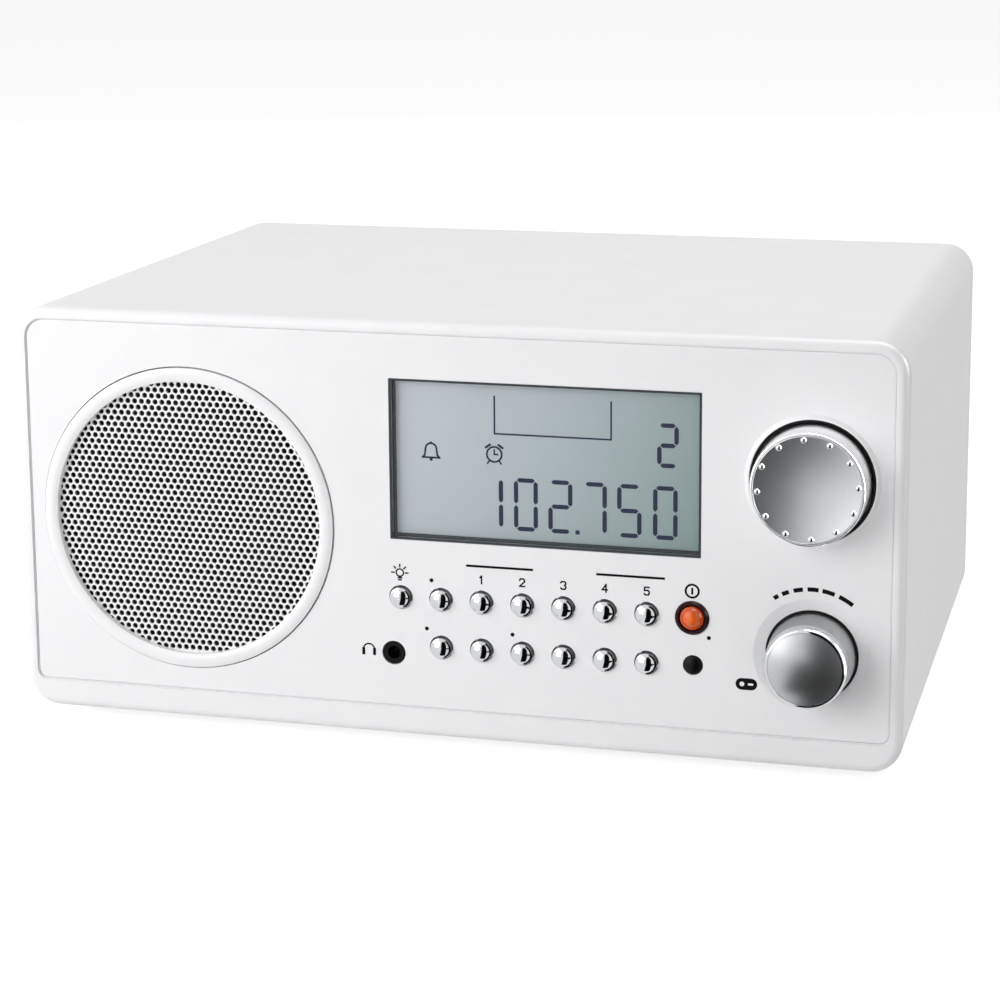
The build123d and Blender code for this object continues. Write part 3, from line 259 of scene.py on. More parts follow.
plainFinishes = {  # grain and relief in millimetres
    # Gloss white ABS, moulded in a lightly polished tool: bright and even, with a soft sheen
    "white_abs": {"name": "glossWhiteAbs", "colour": "#F1F1F2", "shade": "#ECECEE",
                  "roughness": 0.34, "grain": 0.9, "relief": 0.004},
    # White ABS from a spark-eroded tool: flat and finely grained, as hidden panels are
    "rear_abs": {"name": "grainedWhiteAbs", "colour": "#E6E7E8", "shade": "#DEDFE0",
                 "roughness": 0.55, "grain": 0.5, "relief": 0.02},
    # Punched steel under powder coat: even white with a faint orange-peel
    "white_steel": {"name": "powderCoatedSteel", "colour": "#F3F3F3", "shade": "#EAEAEA",
                    "roughness": 0.42, "grain": 0.8, "relief": 0.006},
    # Nickel and chrome over moulded ABS, buffed: mirror bright with a barely uneven skin
    "chrome_plate": {"name": "buffedChromePlate", "colour": "#DADBDD", "shade": "#CFD1D4",
                     "metallic": 1.0, "roughness": 0.09, "grain": 3.0, "relief": 0.004},
    # Milky acrylic with a ground back: soft and even
    "light_guide": {"name": "milkyAcrylic", "colour": "#DDE4E0", "shade": "#D2DAD6",
                    "roughness": 0.4, "grain": 2.0, "relief": 0.003},
    # Dark grey ABS with an etched grain: it takes no highlights
    "dark_abs": {"name": "etchedDarkAbs", "colour": "#30353A", "shade": "#2A2E32",
                 "roughness": 0.6, "grain": 0.4, "relief": 0.01},
    # Black ABS, polished tool: deep black with a clear sheen
    "black_abs": {"name": "glossBlackAbs", "colour": "#08080A", "shade": "#0C0C0E",
                  "roughness": 0.3, "grain": 1.2, "relief": 0.003, "specular": 0.15},
    # Dark red ABS, moulded and polished: nearly black until light falls on it
    "dark_red_ring": {"name": "glossDarkRedAbs", "colour": "#2B0B08", "shade": "#1C0605",
                      "roughness": 0.22, "grain": 1.2, "relief": 0.003, "specular": 0.15},
    # Moulded rubber with a dry bloom: soft charcoal, hardly any sheen
    "black_rubber": {"name": "mouldedRubber", "colour": "#17181A", "shade": "#232425",
                     "roughness": 0.82, "grain": 0.6, "relief": 0.02},
    # Die-cut open-cell foam: cells of about a millimetre, no sheen
    "foam": {"name": "openCellFoam", "colour": "#1B1C1D", "shade": "#0C0C0C",
             "roughness": 0.95, "grain": 1.0, "relief": 0.2},
    # Zinc-plated steel: grey, with the small spangle of passivation
    "zinc_steel": {"name": "zincPlatedSteel", "colour": "#B9BCBC", "shade": "#A3A69F",
                   "metallic": 1.0, "roughness": 0.36, "grain": 1.5, "relief": 0.004},
    # Brass turned on a lathe and nickel plated: warm grey and bright
    "nickel_brass": {"name": "nickelPlatedBrass", "colour": "#C9C5B8", "shade": "#B8B3A4",
                     "metallic": 1.0, "roughness": 0.22, "grain": 0.8, "relief": 0.003},
    # Sintered ferrite: charcoal with a fine ground surface
    "ferrite": {"name": "sinteredFerrite", "colour": "#2B2C2F", "shade": "#1E1F21",
                "roughness": 0.5, "grain": 0.5, "relief": 0.01},
    # Pressed paper pulp, dyed black: short fibres show as mottling
    "paper_pulp": {"name": "pressedPaperPulp", "colour": "#1D1D1E", "shade": "#2B2A29",
                   "roughness": 0.9, "grain": 0.9, "relief": 0.06},
    # Glass-epoxy laminate under green solder resist: deep green with an even gloss
    "circuit_board": {"name": "greenSolderResist", "colour": "#0F4A2A", "shade": "#0B3B21",
                      "roughness": 0.35, "grain": 1.6, "relief": 0.006},
    # Tinned sheet steel, folded: pale grey with a dull bloom
    "tin_plate": {"name": "tinnedSheetSteel", "colour": "#C8C9C6", "shade": "#AFB0AC",
                  "metallic": 1.0, "roughness": 0.34, "grain": 4.0, "relief": 0.01},
    # Heat-shrunk sleeve: navy plastic film pulled tight
    "capacitor_sleeve": {"name": "shrunkPlasticSleeve", "colour": "#141C38", "shade": "#0F162C",
                         "roughness": 0.28, "grain": 2.5, "relief": 0.01},
}

knobSides = {
    # Aluminium for the volume knob's side: a dull mid grey, darker than the cap as painted shade
    "shadedSide": {"name": "shadedSideAluminium", "colour": "#B0B1B2", "shade": "#A2A4A5",
                "metallic": 1.0, "roughness": 0.38, "grain": 0.6, "relief": 0.002},
    # Aluminium cut with a diamond tool: the tuning knob's side, nearly a mirror
    "cut": {"name": "diamondCutAluminium", "colour": "#F6F6F7", "shade": "#EEEEF0",
            "metallic": 1.0, "roughness": 0.16, "grain": 1.5, "relief": 0.002},
}

# A colour Mix has its two colours on inputs 6 and 7 and the result on output 2

skin = {  # what all plain finishes share
    "cloudSize": 12,  # the colour drifts over this many grains
    "cloudDetail": 2.0, "grainDetail": 3.0,
    "glossiest": 0.88, "dullest": 1.12,  # times the finish's roughness
    "bump": 0.6, "metallic": 0.0, "specular": 0.5,  # the last two where a finish doesn't say
}


def plainFinish(finish):
    s = dict(skin, **finish)
    material, tree = newMaterial(s["name"])
    place = addNode(tree, "ShaderNodeTexCoord").outputs["Object"]
    cloud = addNode(tree, "ShaderNodeTexNoise",
                    {"Scale": 1 / (s["cloudSize"] * s["grain"] * mm), "Detail": s["cloudDetail"]},
                    {"Vector": place})
    fine = addNode(tree, "ShaderNodeTexNoise",
                   {"Scale": 1 / (s["grain"] * mm), "Detail": s["grainDetail"]}, {"Vector": place})
    colour = addNode(tree, "ShaderNodeMix",
                     {"data_type": "RGBA", 6: linearColour(s["colour"]), 7: linearColour(s["shade"])},
                     {0: cloud.outputs[0]})
    rough = addNode(tree, "ShaderNodeMapRange",
                    {"To Min": s["roughness"] * s["glossiest"], "To Max": s["roughness"] * s["dullest"]},
                    {0: fine.outputs[0]})
    bump = addNode(tree, "ShaderNodeBump", {"Strength": s["bump"], "Distance": s["relief"] * mm},
                   {"Height": fine.outputs[0]})
    shader = addNode(tree, "ShaderNodeBsdfPrincipled",
                     {"Metallic": s["metallic"], "Specular IOR Level": s["specular"]},
                     {"Base Color": colour.outputs[2], "Roughness": rough.outputs[0],
                      "Normal": bump.outputs[0]})
    addNode(tree, "ShaderNodeOutputMaterial", {}, {"Surface": shader.outputs[0]})
    return material


def waveScale(pitch):  # the wave texture's bands are 2 pi / 20 apart at a scale of 1
    return 2 * math.pi / (20 * pitch * mm)


# Aluminium spun over a form, then satin anodised: fine rings round the axis spread the light
spunDisc = {"name": "satinSpunAluminium", "colour": "#DBDDDF", "shade": "#D4D6D9",
            "roughness": 0.3, "glossiest": 0.9, "dullest": 1.15, "anisotropy": 0.2,
            "ringPitch": 0.3,  # millimetres; true rings are too fine to show
            "wander": 1.5, "detail": 2.0, "bump": 0.4, "relief": 0.0006}
# The same satin aluminium with the same rings, a shade darker as painted shade on the volume knob's cap
shadedSatinDisc = dict(spunDisc, name="shadedSatinAluminium", colour="#C6C8CA", shade="#BFC1C4")


def satinAluminium(s, axis):
    material, tree = newMaterial(s["name"])
    place = addNode(tree, "ShaderNodeTexCoord").outputs["Object"]
    fromAxis = addNode(tree, "ShaderNodeVectorMath", {"operation": "SUBTRACT", 1: axis}, {0: place})
    wave = addNode(tree, "ShaderNodeTexWave",
                   {"wave_type": "RINGS", "rings_direction": "Y", "Scale": waveScale(s["ringPitch"]),
                    "Distortion": s["wander"], "Detail": s["detail"], "Detail Scale": s["detail"]},
                   {"Vector": fromAxis.outputs[0]})
    rings = wave.outputs["Fac"]
    colour = addNode(tree, "ShaderNodeMix",
                     {"data_type": "RGBA", 6: linearColour(s["colour"]), 7: linearColour(s["shade"])},
                     {0: rings})
    rough = addNode(tree, "ShaderNodeMapRange",
                    {"To Min": s["roughness"] * s["glossiest"], "To Max": s["roughness"] * s["dullest"]},
                    {0: rings})
    bump = addNode(tree, "ShaderNodeBump", {"Strength": s["bump"], "Distance": s["relief"] * mm},
                   {"Height": rings})
    shader = addNode(tree, "ShaderNodeBsdfPrincipled", {"Metallic": 1.0, "Anisotropic": s["anisotropy"]},
                     {"Base Color": colour.outputs[2], "Roughness": rough.outputs[0],
                      "Normal": bump.outputs[0]})
    addNode(tree, "ShaderNodeOutputMaterial", {}, {"Surface": shader.outputs[0]})
    return material


# Clear cast acrylic, polished: it shows what is behind it and a thin gloss of its own
window = {"tint": "#F7FAFA", "gloss": "#FFFFFF", "roughness": 0.03, "dullest": 2,
          "streak": 18, "streakDetail": 2.0,  # millimetres
          "ior": 1.49, "glossShare": 0.5}


def polishedAcrylic(s):
    material, tree = newMaterial("polishedClearAcrylic")
    place = addNode(tree, "ShaderNodeTexCoord").outputs["Object"]
    streak = addNode(tree, "ShaderNodeTexNoise",
                     {"Scale": 1 / (s["streak"] * mm), "Detail": s["streakDetail"]}, {"Vector": place})
    rough = addNode(tree, "ShaderNodeMapRange",
                    {"To Min": s["roughness"], "To Max": s["roughness"] * s["dullest"]},
                    {0: streak.outputs[0]})
    clear = addNode(tree, "ShaderNodeBsdfTransparent", {"Color": linearColour(s["tint"])})
    gloss = addNode(tree, "ShaderNodeBsdfGlossy", {"Color": linearColour(s["gloss"])},
                    {"Roughness": rough.outputs[0]})
    edge = addNode(tree, "ShaderNodeFresnel", {"IOR": s["ior"]})
    share = addNode(tree, "ShaderNodeMath", {"operation": "MULTIPLY", 1: s["glossShare"]},
                    {0: edge.outputs[0]})
    mix = addNode(tree, "ShaderNodeMixShader", {},
                  {0: share.outputs[0], 1: clear.outputs[0], 2: gloss.outputs[0]})
    addNode(tree, "ShaderNodeOutputMaterial", {}, {"Surface": mix.outputs[0]})
    return material


# Liquid crystal glass behind a matt polariser: grey with a green cast; the darkening to the lower right is
# painted shade, as the viewing angle shades it
crystal = {"pale": "#E9E5ED", "middle": "#CCD0D5", "deepShade": "#A2B3B1",
           "stops": (0.08, 0.54, 0.96),  # of the three colours
           "across": 0.77, "down": 0.23,  # shares of the painted shade's slope, rightwards and downwards
           "roughness": 0.42, "glossiest": 0.9, "dullest": 1.1, "specular": 0.2,
           "grain": 0.35, "grainDetail": 2.0,  # millimetres
           "glow": 0.06}  # a faint painted glow that lightens the crystal


def crystalGlass(s):
    material, tree = newMaterial("mattPolarisedCrystalGlass")
    low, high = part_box("display_glass")
    place = addNode(tree, "ShaderNodeTexCoord").outputs["Object"]
    spot = addNode(tree, "ShaderNodeSeparateXYZ", {}, {0: place})
    across = addNode(tree, "ShaderNodeMapRange",
                     {"From Min": low.x, "From Max": high.x, "To Max": s["across"]}, {0: spot.outputs[0]})
    down = addNode(tree, "ShaderNodeMapRange", {"From Min": high.z, "From Max": low.z},
                   {0: spot.outputs[2]})
    paintedShadeSlope = addNode(tree, "ShaderNodeMath", {"operation": "MULTIPLY_ADD", 1: s["down"]},
                    {0: down.outputs[0], 2: across.outputs[0]})
    # the ramp from pale to deep is painted shade across the crystal
    ramp = addNode(tree, "ShaderNodeValToRGB", {}, {0: paintedShadeSlope.outputs[0]})
    first, centre, last = s["stops"]
    points = ramp.color_ramp.elements
    points[0].position, points[0].color = first, linearColour(s["pale"])
    points[1].position, points[1].color = last, linearColour(s["deepShade"])
    points.new(centre).color = linearColour(s["middle"])
    fine = addNode(tree, "ShaderNodeTexNoise",
                   {"Scale": 1 / (s["grain"] * mm), "Detail": s["grainDetail"]}, {"Vector": place})
    rough = addNode(tree, "ShaderNodeMapRange",
                    {"To Min": s["roughness"] * s["glossiest"], "To Max": s["roughness"] * s["dullest"]},
                    {0: fine.outputs[0]})
    shader = addNode(tree, "ShaderNodeBsdfPrincipled",
                     {"Specular IOR Level": s["specular"], "Emission Strength": s["glow"]},
                     {"Base Color": ramp.outputs[0], "Emission Color": ramp.outputs[0],
                      "Roughness": rough.outputs[0]})
    addNode(tree, "ShaderNodeOutputMaterial", {}, {"Surface": shader.outputs[0]})
    return material


# Orange acrylic lens, dyed through and polished; its colour darkens towards the rim as painted shade of the
# dome's edge
lens = {"middle": "#EF6A18", "rim": "#CC470A", "radius": 3.05,  # millimetres
        "roughness": 0.2, "coat": 0.3, "coatRoughness": 0.05}


def shadedOrangeLens(s):
    material, tree = newMaterial("dyedOrangeAcrylic")
    place = addNode(tree, "ShaderNodeTexCoord").outputs["Object"]
    away = addNode(tree, "ShaderNodeVectorMath", {"operation": "SUBTRACT", 1: centreOf("power_button")},
                   {0: place})
    flat = addNode(tree, "ShaderNodeVectorMath", {"operation": "MULTIPLY", 1: (1, 0, 1)},
                   {0: away.outputs[0]})
    far = addNode(tree, "ShaderNodeVectorMath", {"operation": "LENGTH"}, {0: flat.outputs[0]})
    depth = addNode(tree, "ShaderNodeMapRange", {"From Max": s["radius"] * mm},
                    {0: far.outputs["Value"]})
    # painted shade: the orange darkens from the middle out to the rim
    colour = addNode(tree, "ShaderNodeMix",
                     {"data_type": "RGBA", 6: linearColour(s["middle"]), 7: linearColour(s["rim"])},
                     {0: depth.outputs[0]})
    shader = addNode(tree, "ShaderNodeBsdfPrincipled",
                     {"Roughness": s["roughness"], "Coat Weight": s["coat"],
                      "Coat Roughness": s["coatRoughness"]}, {"Base Color": colour.outputs[2]})
    addNode(tree, "ShaderNodeOutputMaterial", {}, {"Surface": shader.outputs[0]})
    return material


threads = {  # pitch and relief in millimetres
    # Enamelled copper wire, wound turn beside turn: reddish brown bands with a bright crest
    "copper_wire": {"name": "enamelledCopperWinding", "colour": "#B4603A", "shade": "#7C3A20",
                    "metallic": 0.8, "roughness": 0.3, "pitch": 0.5, "direction": "X",
                    "wander": 0.4, "bump": 0.8, "relief": 0.1},
    # Cotton cloth dipped in resin: amber ribs without much sheen
    "spider_cloth": {"name": "resinDippedCotton", "colour": "#A37B3E", "shade": "#7A5A2A",
                     "metallic": 0.0, "roughness": 0.8, "pitch": 0.6, "direction": "Z",
                     "wander": 0.4, "bump": 0.8, "relief": 0.08},
}


def laidThreads(s):  # threads side by side
    material, tree = newMaterial(s["name"])
    place = addNode(tree, "ShaderNodeTexCoord").outputs["Object"]
    wave = addNode(tree, "ShaderNodeTexWave",
                   {"wave_type": "BANDS", "bands_direction": s["direction"],
                    "Scale": waveScale(s["pitch"]), "Distortion": s["wander"]}, {"Vector": place})
    bands = wave.outputs["Fac"]
    colour = addNode(tree, "ShaderNodeMix",
                     {"data_type": "RGBA", 6: linearColour(s["shade"]), 7: linearColour(s["colour"])},
                     {0: bands})
    bump = addNode(tree, "ShaderNodeBump", {"Strength": s["bump"], "Distance": s["relief"] * mm},
                   {"Height": bands})
    shader = addNode(tree, "ShaderNodeBsdfPrincipled",
                     {"Metallic": s["metallic"], "Roughness": s["roughness"]},
                     {"Base Color": colour.outputs[2], "Normal": bump.outputs[0]})
    addNode(tree, "ShaderNodeOutputMaterial", {}, {"Surface": shader.outputs[0]})
    return material


finishes = {slotName: plainFinish(s) for slotName, s in plainFinishes.items()}
finishes.update({slotName: laidThreads(s) for slotName, s in threads.items()})
finishes["clear_acrylic"] = polishedAcrylic(window)
finishes["lcd_glass"] = crystalGlass(crystal)
finishes["orange_lens"] = shadedOrangeLens(lens)
finishes["satin_aluminium"] = satinAluminium(spunDisc, tuningAxis)
# the volume cap takes the darker copy: painted shade
volumeFinish = satinAluminium(shadedSatinDisc, volumeAxis)
shadedSideFinish = plainFinish(knobSides["shadedSide"])
cutFinish = plainFinish(knobSides["cut"])

for part in frame["record"]["subparts"]:
    mesh = nodes[part["node"]].data
    mesh.materials.clear()
    mesh.materials.append(finishes[part["material_slot"]])
nodes["volume_knob"].data.materials[0] = volumeFinish
nodes["tuning_knob"].data.materials[0] = cutFinish
print("finishes on", len(nodes), "nodes")


# Pieces that are built here

def ringPoints(x, z, radius, sides, turn=0.0):
    angles = [turn + 2 * math.pi * n / sides for n in range(sides)]
    return [(x + radius * math.cos(a), z + radius * math.sin(a)) for a in angles]


grille = {  # millimetres; steel sheet with staggered holes
    "pitch": 1.96, "rowPitch": 1.645, "holeRadius": 0.77, "edgeMargin": 0.3, "sheet": 0.6,
    "holeSides": 10, "rimSides": 160, "weld": 1e-6,
}


def punchedGrille(s):
    low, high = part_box("speaker_grille")
    rim = (high.x - low.x) / 2 / mm
    reach = rim - s["edgeMargin"] - s["holeRadius"]
    rows = int(reach / s["rowPitch"])
    columns = int(reach / s["pitch"]) + 1
    loops = [ringPoints(0, 0, rim, s["rimSides"])]
    for row in range(-rows, rows + 1):
        for column in range(-columns, columns + 1):
            x, z = (column + row % 2 / 2) * s["pitch"], row * s["rowPitch"]
            if math.hypot(x, z) <= reach:
                loops.append(ringPoints(x, z, s["holeRadius"], s["holeSides"]))
    points, edges, loopOf = [], [], []
    for number, loop in enumerate(loops):
        start = len(points)
        points += [Vector(p) for p in loop]
        loopOf += [number] * len(loop)
        edges += [(start + n, start + (n + 1) % len(loop)) for n in range(len(loop))]
    everyTriangle = 0  # the kind of output; those with all corners on one hole's edge lie in the hole
    flat, _, triangles, *_ = delaunay_2d_cdt(points, edges, [], everyTriangle, s["weld"])
    sheet = [t for t in triangles if loopOf[t[0]] == 0 or len({loopOf[corner] for corner in t}) > 1]
    count = len(flat)
    verts = [(speakerAxis.x + p.x * mm, y, speakerAxis.z + p.y * mm)
             for y in (low.y, low.y + s["sheet"] * mm) for p in flat]
    faces = [tuple(t) for t in sheet]
    faces += [tuple(count + corner for corner in reversed(t)) for t in sheet]
    faces += [(b, a, count + a, count + b) if loopOf[a] == 0 else (a, b, count + b, count + a)
              for a, b in edges]
    piece = meshObject("punched_grille", verts, faces, finishes["white_steel"])
    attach(piece, "cabinet")
    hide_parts("speaker_grille")
    print("grille with", len(loops) - 1, "holes")


# Prints and crystal segments are flat outlines given a small thickness

def strip(points, width):  # a stroke of even width along a line, one outline for each straight run
    outlines = []
    for (ax, az), (bx, bz) in zip(points, points[1:]):
        length = math.hypot(bx - ax, bz - az)
        sx, sz = (bx - ax) / length * width / 2, (bz - az) / length * width / 2
        outlines.append([(ax - sx - sz, az - sz + sx), (ax - sx + sz, az - sz - sx),
                         (bx + sx + sz, bz + sz - sx), (bx + sx - sz, bz + sz + sx)])
    return outlines


def hoop(x, z, radius, width, first=0, last=360, sides=24):  # a ring, or a stretch of one
    outlines = []
    steps = [math.radians(first + (last - first) * n / sides) for n in range(sides + 1)]
    for a, b in zip(steps, steps[1:]):
        inner, outer = radius - width / 2, radius + width / 2
        outlines.append([(x + r * math.cos(t), z + r * math.sin(t))
                         for r, t in ((inner, a), (outer, a), (outer, b), (inner, b))])
    return outlines


def disc(x, z, radius, sides=20):
    return [ringPoints(x, z, radius, sides)]


def pill(x, z, half, radius, sides=12):  # one outline with round ends
    right = ringPoints(x + half, z, radius, 2 * sides, -math.pi / 2)[:sides + 1]
    left = ringPoints(x - half, z, radius, 2 * sides, math.pi / 2)[:sides + 1]
    return right + left


numerals = {  # plain numerals from straight strokes, on a square from -1 to 1
    "1": [(-0.5, 0.6), (0.1, 1), (0.1, -1)],
    "2": [(-1, 0.6), (-0.6, 1), (0.6, 1), (1, 0.6), (1, 0.25), (-1, -1), (1, -1)],
    "3": [(-1, 0.7), (-0.6, 1), (0.6, 1), (1, 0.7), (1, 0.3), (0.5, 0.05), (1, -0.3), (1, -0.7),
          (0.6, -1), (-0.6, -1), (-1, -0.7)],
    "4": [(0.5, -1), (0.5, 1), (-1, -0.4), (1, -0.4)],
    "5": [(0.9, 1), (-0.8, 1), (-0.9, 0.15), (0.5, 0.2), (1, -0.2), (1, -0.6), (0.6, -1),
          (-0.6, -1), (-1, -0.7)],
}


def numeral(digit, x, z, size, stroke):
    w, h = size[0] / 2, size[1] / 2
    return strip([(x + w * a, z + h * b) for a, b in numerals[digit]], stroke)


def flatPiece(name, outlines, frontY, thickness, finish):
    verts, faces = [], []
    for outline in outlines:
        area = sum(a[0] * b[1] - b[0] * a[1] for a, b in zip(outline, outline[1:] + outline[:1]))
        points = outline if area > 0 else outline[::-1]
        start, count = len(verts), len(points)
        verts += [(x * mm, y, underZ + z * mm) for y in (frontY, frontY + thickness) for x, z in points]
        faces.append(tuple(start + n for n in range(count)))
        faces.append(tuple(start + count + n for n in reversed(range(count))))
        faces += [(start + (n + 1) % count, start + n, start + count + n, start + count + (n + 1) % count)
                  for n in range(count)]
    piece = meshObject(name, verts, faces, finish)
    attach(piece, "cabinet")


# Screen ink: dull near-black, laid on thin, a little uneven from the grain under it
ink = {"name": "screenPrintInk", "colour": "#0C0C0D", "shade": "#141416",
       "roughness": 0.7, "grain": 0.3, "relief": 0.002, "specular": 0.06}

prints = {  # millimetres, x from the middle and z from the cabinet's underside
    "proud": 0.03, "bedded": 0.03, "line": 0.4,
    "bulb": (-12.15, 44.4), "bulbRadius": 1.0, "bulbRays": (1.6, 2.2), "rayAngles": (0, 45, 90, 135, 180),
    "bulbBands": ((0.4, 0.45), (0.95, 0.3)),  # drop below the bulb, and half width
    "presetLine": (6.3, 58.5), "presetLineHeight": 47.5, "presetGap": (23.7, 41.1), "presetLineWidth": 0.62,
    "presets": 5, "numbersHeight": 43.9, "numberFirst": 10.05, "numberPitch": 11.0, "numberSize": (1.3, 2.0),
    "powerMark": (65.9, 44.7), "powerRadius": 1.7, "powerLine": 0.55, "powerHalf": 0.6,
    "dashCentre": (96.5, 29.9), "dashRadius": 17.3, "dashWidth": 1.1, "dashSides": 6,
    # Each dash's angle in degrees, and its length
    "dashes": ((121.6, 1.3), (112.8, 1.85), (101.6, 2.4), (89.1, 2.8), (75.9, 3.2), (59.9, 4.0)),
    "headphoneMark": (-21.0, 22.9), "bandRadius": 1.5, "bandSides": 16, "earLength": 1.2, "earWidth": 0.8,
    "dots": ((-3.5, 42.9), (-4.9, 29.7), (18.4, 29.7), (70.3, 32.6)), "dotRadius": 0.55, "dotSides": 12,
    "tonePill": (80.1, 21.1), "toneHalf": 1.25, "toneRadius": 1.55,
    "paleDot": (-1.15, 0.62), "paleDash": (1.1, 0.45, 0.28),  # beside the pill's middle, and their sizes
}


def bulbMark(s):
    (x, z), r = s["bulb"], s["bulbRadius"]
    outlines = hoop(x, z, r, s["line"])
    for drop, half in s["bulbBands"]:
        outlines += strip([(x - half, z - r - drop), (x + half, z - r - drop)], s["line"])
    for angle in s["rayAngles"]:
        c, d = math.cos(math.radians(angle)), math.sin(math.radians(angle))
        outlines += strip([(x + out * c, z + out * d) for out in s["bulbRays"]], s["line"])
    return outlines


def presetMarks(s):  # a line broken in the middle, with the numbers under it
    left, right = s["presetLine"]
    gapLeft, gapRight = s["presetGap"]
    height = s["presetLineHeight"]
    outlines = strip([(left, height), (gapLeft, height)], s["presetLineWidth"])
    outlines += strip([(gapRight, height), (right, height)], s["presetLineWidth"])
    for number in range(s["presets"]):
        place = s["numberFirst"] + number * s["numberPitch"]
        outlines += numeral(str(number + 1), place, s["numbersHeight"], s["numberSize"], s["line"])
    return outlines


def powerMark(s):
    x, z = s["powerMark"]
    stroke = strip([(x, z - s["powerHalf"]), (x, z + s["powerHalf"])], s["powerLine"])
    return hoop(x, z, s["powerRadius"], s["powerLine"]) + stroke


def volumeDashes(s):  # they grow clockwise round the knob
    x, z = s["dashCentre"]
    outlines = []
    for angle, length in s["dashes"]:
        half = math.degrees(length / 2 / s["dashRadius"])
        outlines += hoop(x, z, s["dashRadius"], s["dashWidth"], angle - half, angle + half, s["dashSides"])
    return outlines


def headphoneMark(s):
    x, z = s["headphoneMark"]
    outlines = hoop(x, z, s["bandRadius"], s["line"], 0, 180, s["bandSides"])
    for side in (-1, 1):
        ear = x + side * s["bandRadius"]
        outlines += strip([(ear, z), (ear, z - s["earLength"])], s["earWidth"])
    return outlines


def frontPrints(s):
    outlines = bulbMark(s) + presetMarks(s) + powerMark(s) + volumeDashes(s) + headphoneMark(s)
    for x, z in s["dots"]:
        outlines += disc(x, z, s["dotRadius"], s["dotSides"])
    x, z = s["tonePill"]
    outlines.append(pill(x, z, s["toneHalf"], s["toneRadius"]))
    front = faceY - s["proud"] * mm
    thickness = (s["proud"] + s["bedded"]) * mm
    flatPiece("front_prints", outlines, front, thickness, plainFinish(ink))
    dotPlace, dotRadius = s["paleDot"]
    dashPlace, dashHalf, dashRadius = s["paleDash"]
    marks = disc(x + dotPlace, z, dotRadius)  # left pale in the filled pill
    marks.append(pill(x + dashPlace, z, dashHalf, dashRadius))
    flatPiece("pale_marks", marks, front - s["bedded"] * mm, s["bedded"] * mm,
              finishes["white_abs"])
    print("front prints:", len(outlines), "outlines")


# Liquid crystal segments: navy with hardly any gloss; the real ones are slightly see-through
crystalInk = {"name": "navyCrystalSegment", "colour": "#0A1540", "shade": "#0D1A48",
              "roughness": 0.6, "grain": 0.6, "relief": 0.001, "specular": 0.1}

crystalMarks = {  # millimetres on the glass, as above
    "proud": 0.04, "bedded": 0.02,
    "reading": " 102750", "cellLefts": (0.2, 8.9, 18.2, 27.4, 36.5, 45.6, 55.0),
    "cellWidth": 6.4, "cellLow": 56.9, "cellHigh": 71.0, "stroke": 1.15, "break": 0.2,
    "pointAfter": 3, "point": (0.8, 1.9, 1.1),  # its left and right from the cell, and its height
    "memoryDigit": "2", "memory": (56.0, 75.8, 5.6, 11.6),  # left, low, width and height
    "box": (13.1, 44.0, 82.4, 92.2), "boxLine": 0.45,  # left, right, bottom and top
}
segmentsOf = {"0": "abcdef", "1": "bc", "2": "abged", "3": "abgcd", "4": "fgbc", "5": "afgcd",
              "6": "afgedc", "7": "abc", "8": "abcdefg", "9": "abcdfg", " ": ""}

bell = {  # millimetres; all but the place from its own middle
    "place": (-4.1, 76.9), "crown": 0.6, "radius": 1.5, "crownSides": 14, "line": 0.5,
    "skirt": ((-1.5, 0.6), (-1.7, -1.0), (-2.3, -1.7), (2.3, -1.7), (1.7, -1.0), (1.5, 0.6)),
    "clapper": (-2.2, 0.45), "knob": (2.3, 0.3), "ballSides": 12,  # height and radius of each
}
clock = {  # millimetres; all but the place from its own middle
    "place": (13.0, 76.9), "radius": 2.0, "line": 0.5,
    "hands": ((0, 1.2), (0, 0), (0.9, 0)), "handLine": 0.4,
    "gong": ((1.2, 2.5), (2.2, 1.8)), "gongLine": 0.6,  # one on each side, like the feet
    "foot": ((1.3, -1.7), (1.8, -2.4)), "footLine": 0.45,
}


def sevenSegments(digit, left, low, width, height, s):  # slanted ends, as crystal cells have
    t, gap = s["stroke"], s["break"]
    right, high = left + width, low + height
    middle = (low + high) / 2
    h = t / 2

    def bar(z):  # level segment about height z
        return [(left + gap + h, z), (left + gap + t, z + h), (right - gap - t, z + h),
                (right - gap - h, z), (right - gap - t, z - h), (left + gap + t, z - h)]

    def upright(x, bottom, top):
        return [(x, bottom + gap), (x + h, bottom + gap + h), (x + h, top - gap - h), (x, top - gap),
                (x - h, top - gap - h), (x - h, bottom + gap + h)]

    shapes = {"a": bar(high - h), "g": bar(middle), "d": bar(low + h),
              "f": upright(left + h, middle, high - h), "b": upright(right - h, middle, high - h),
              "e": upright(left + h, low + h, middle), "c": upright(right - h, low + h, middle)}
    return [shapes[name] for name in segmentsOf[digit]]


def bellMark(s):
    x, z = s["place"]
    outlines = hoop(x, z + s["crown"], s["radius"], s["line"], 0, 180, s["crownSides"])
    outlines += strip([(x + a, z + b) for a, b in s["skirt"]], s["line"])
    for height, radius in (s["clapper"], s["knob"]):
        outlines += disc(x, z + height, radius, s["ballSides"])
    return outlines


def clockMark(s):
    x, z = s["place"]
    outlines = hoop(x, z, s["radius"], s["line"])
    outlines += strip([(x + a, z + b) for a, b in s["hands"]], s["handLine"])
    for side in (-1, 1):
        outlines += strip([(x + side * a, z + b) for a, b in s["gong"]], s["gongLine"])
        outlines += strip([(x + side * a, z + b) for a, b in s["foot"]], s["footLine"])
    return outlines


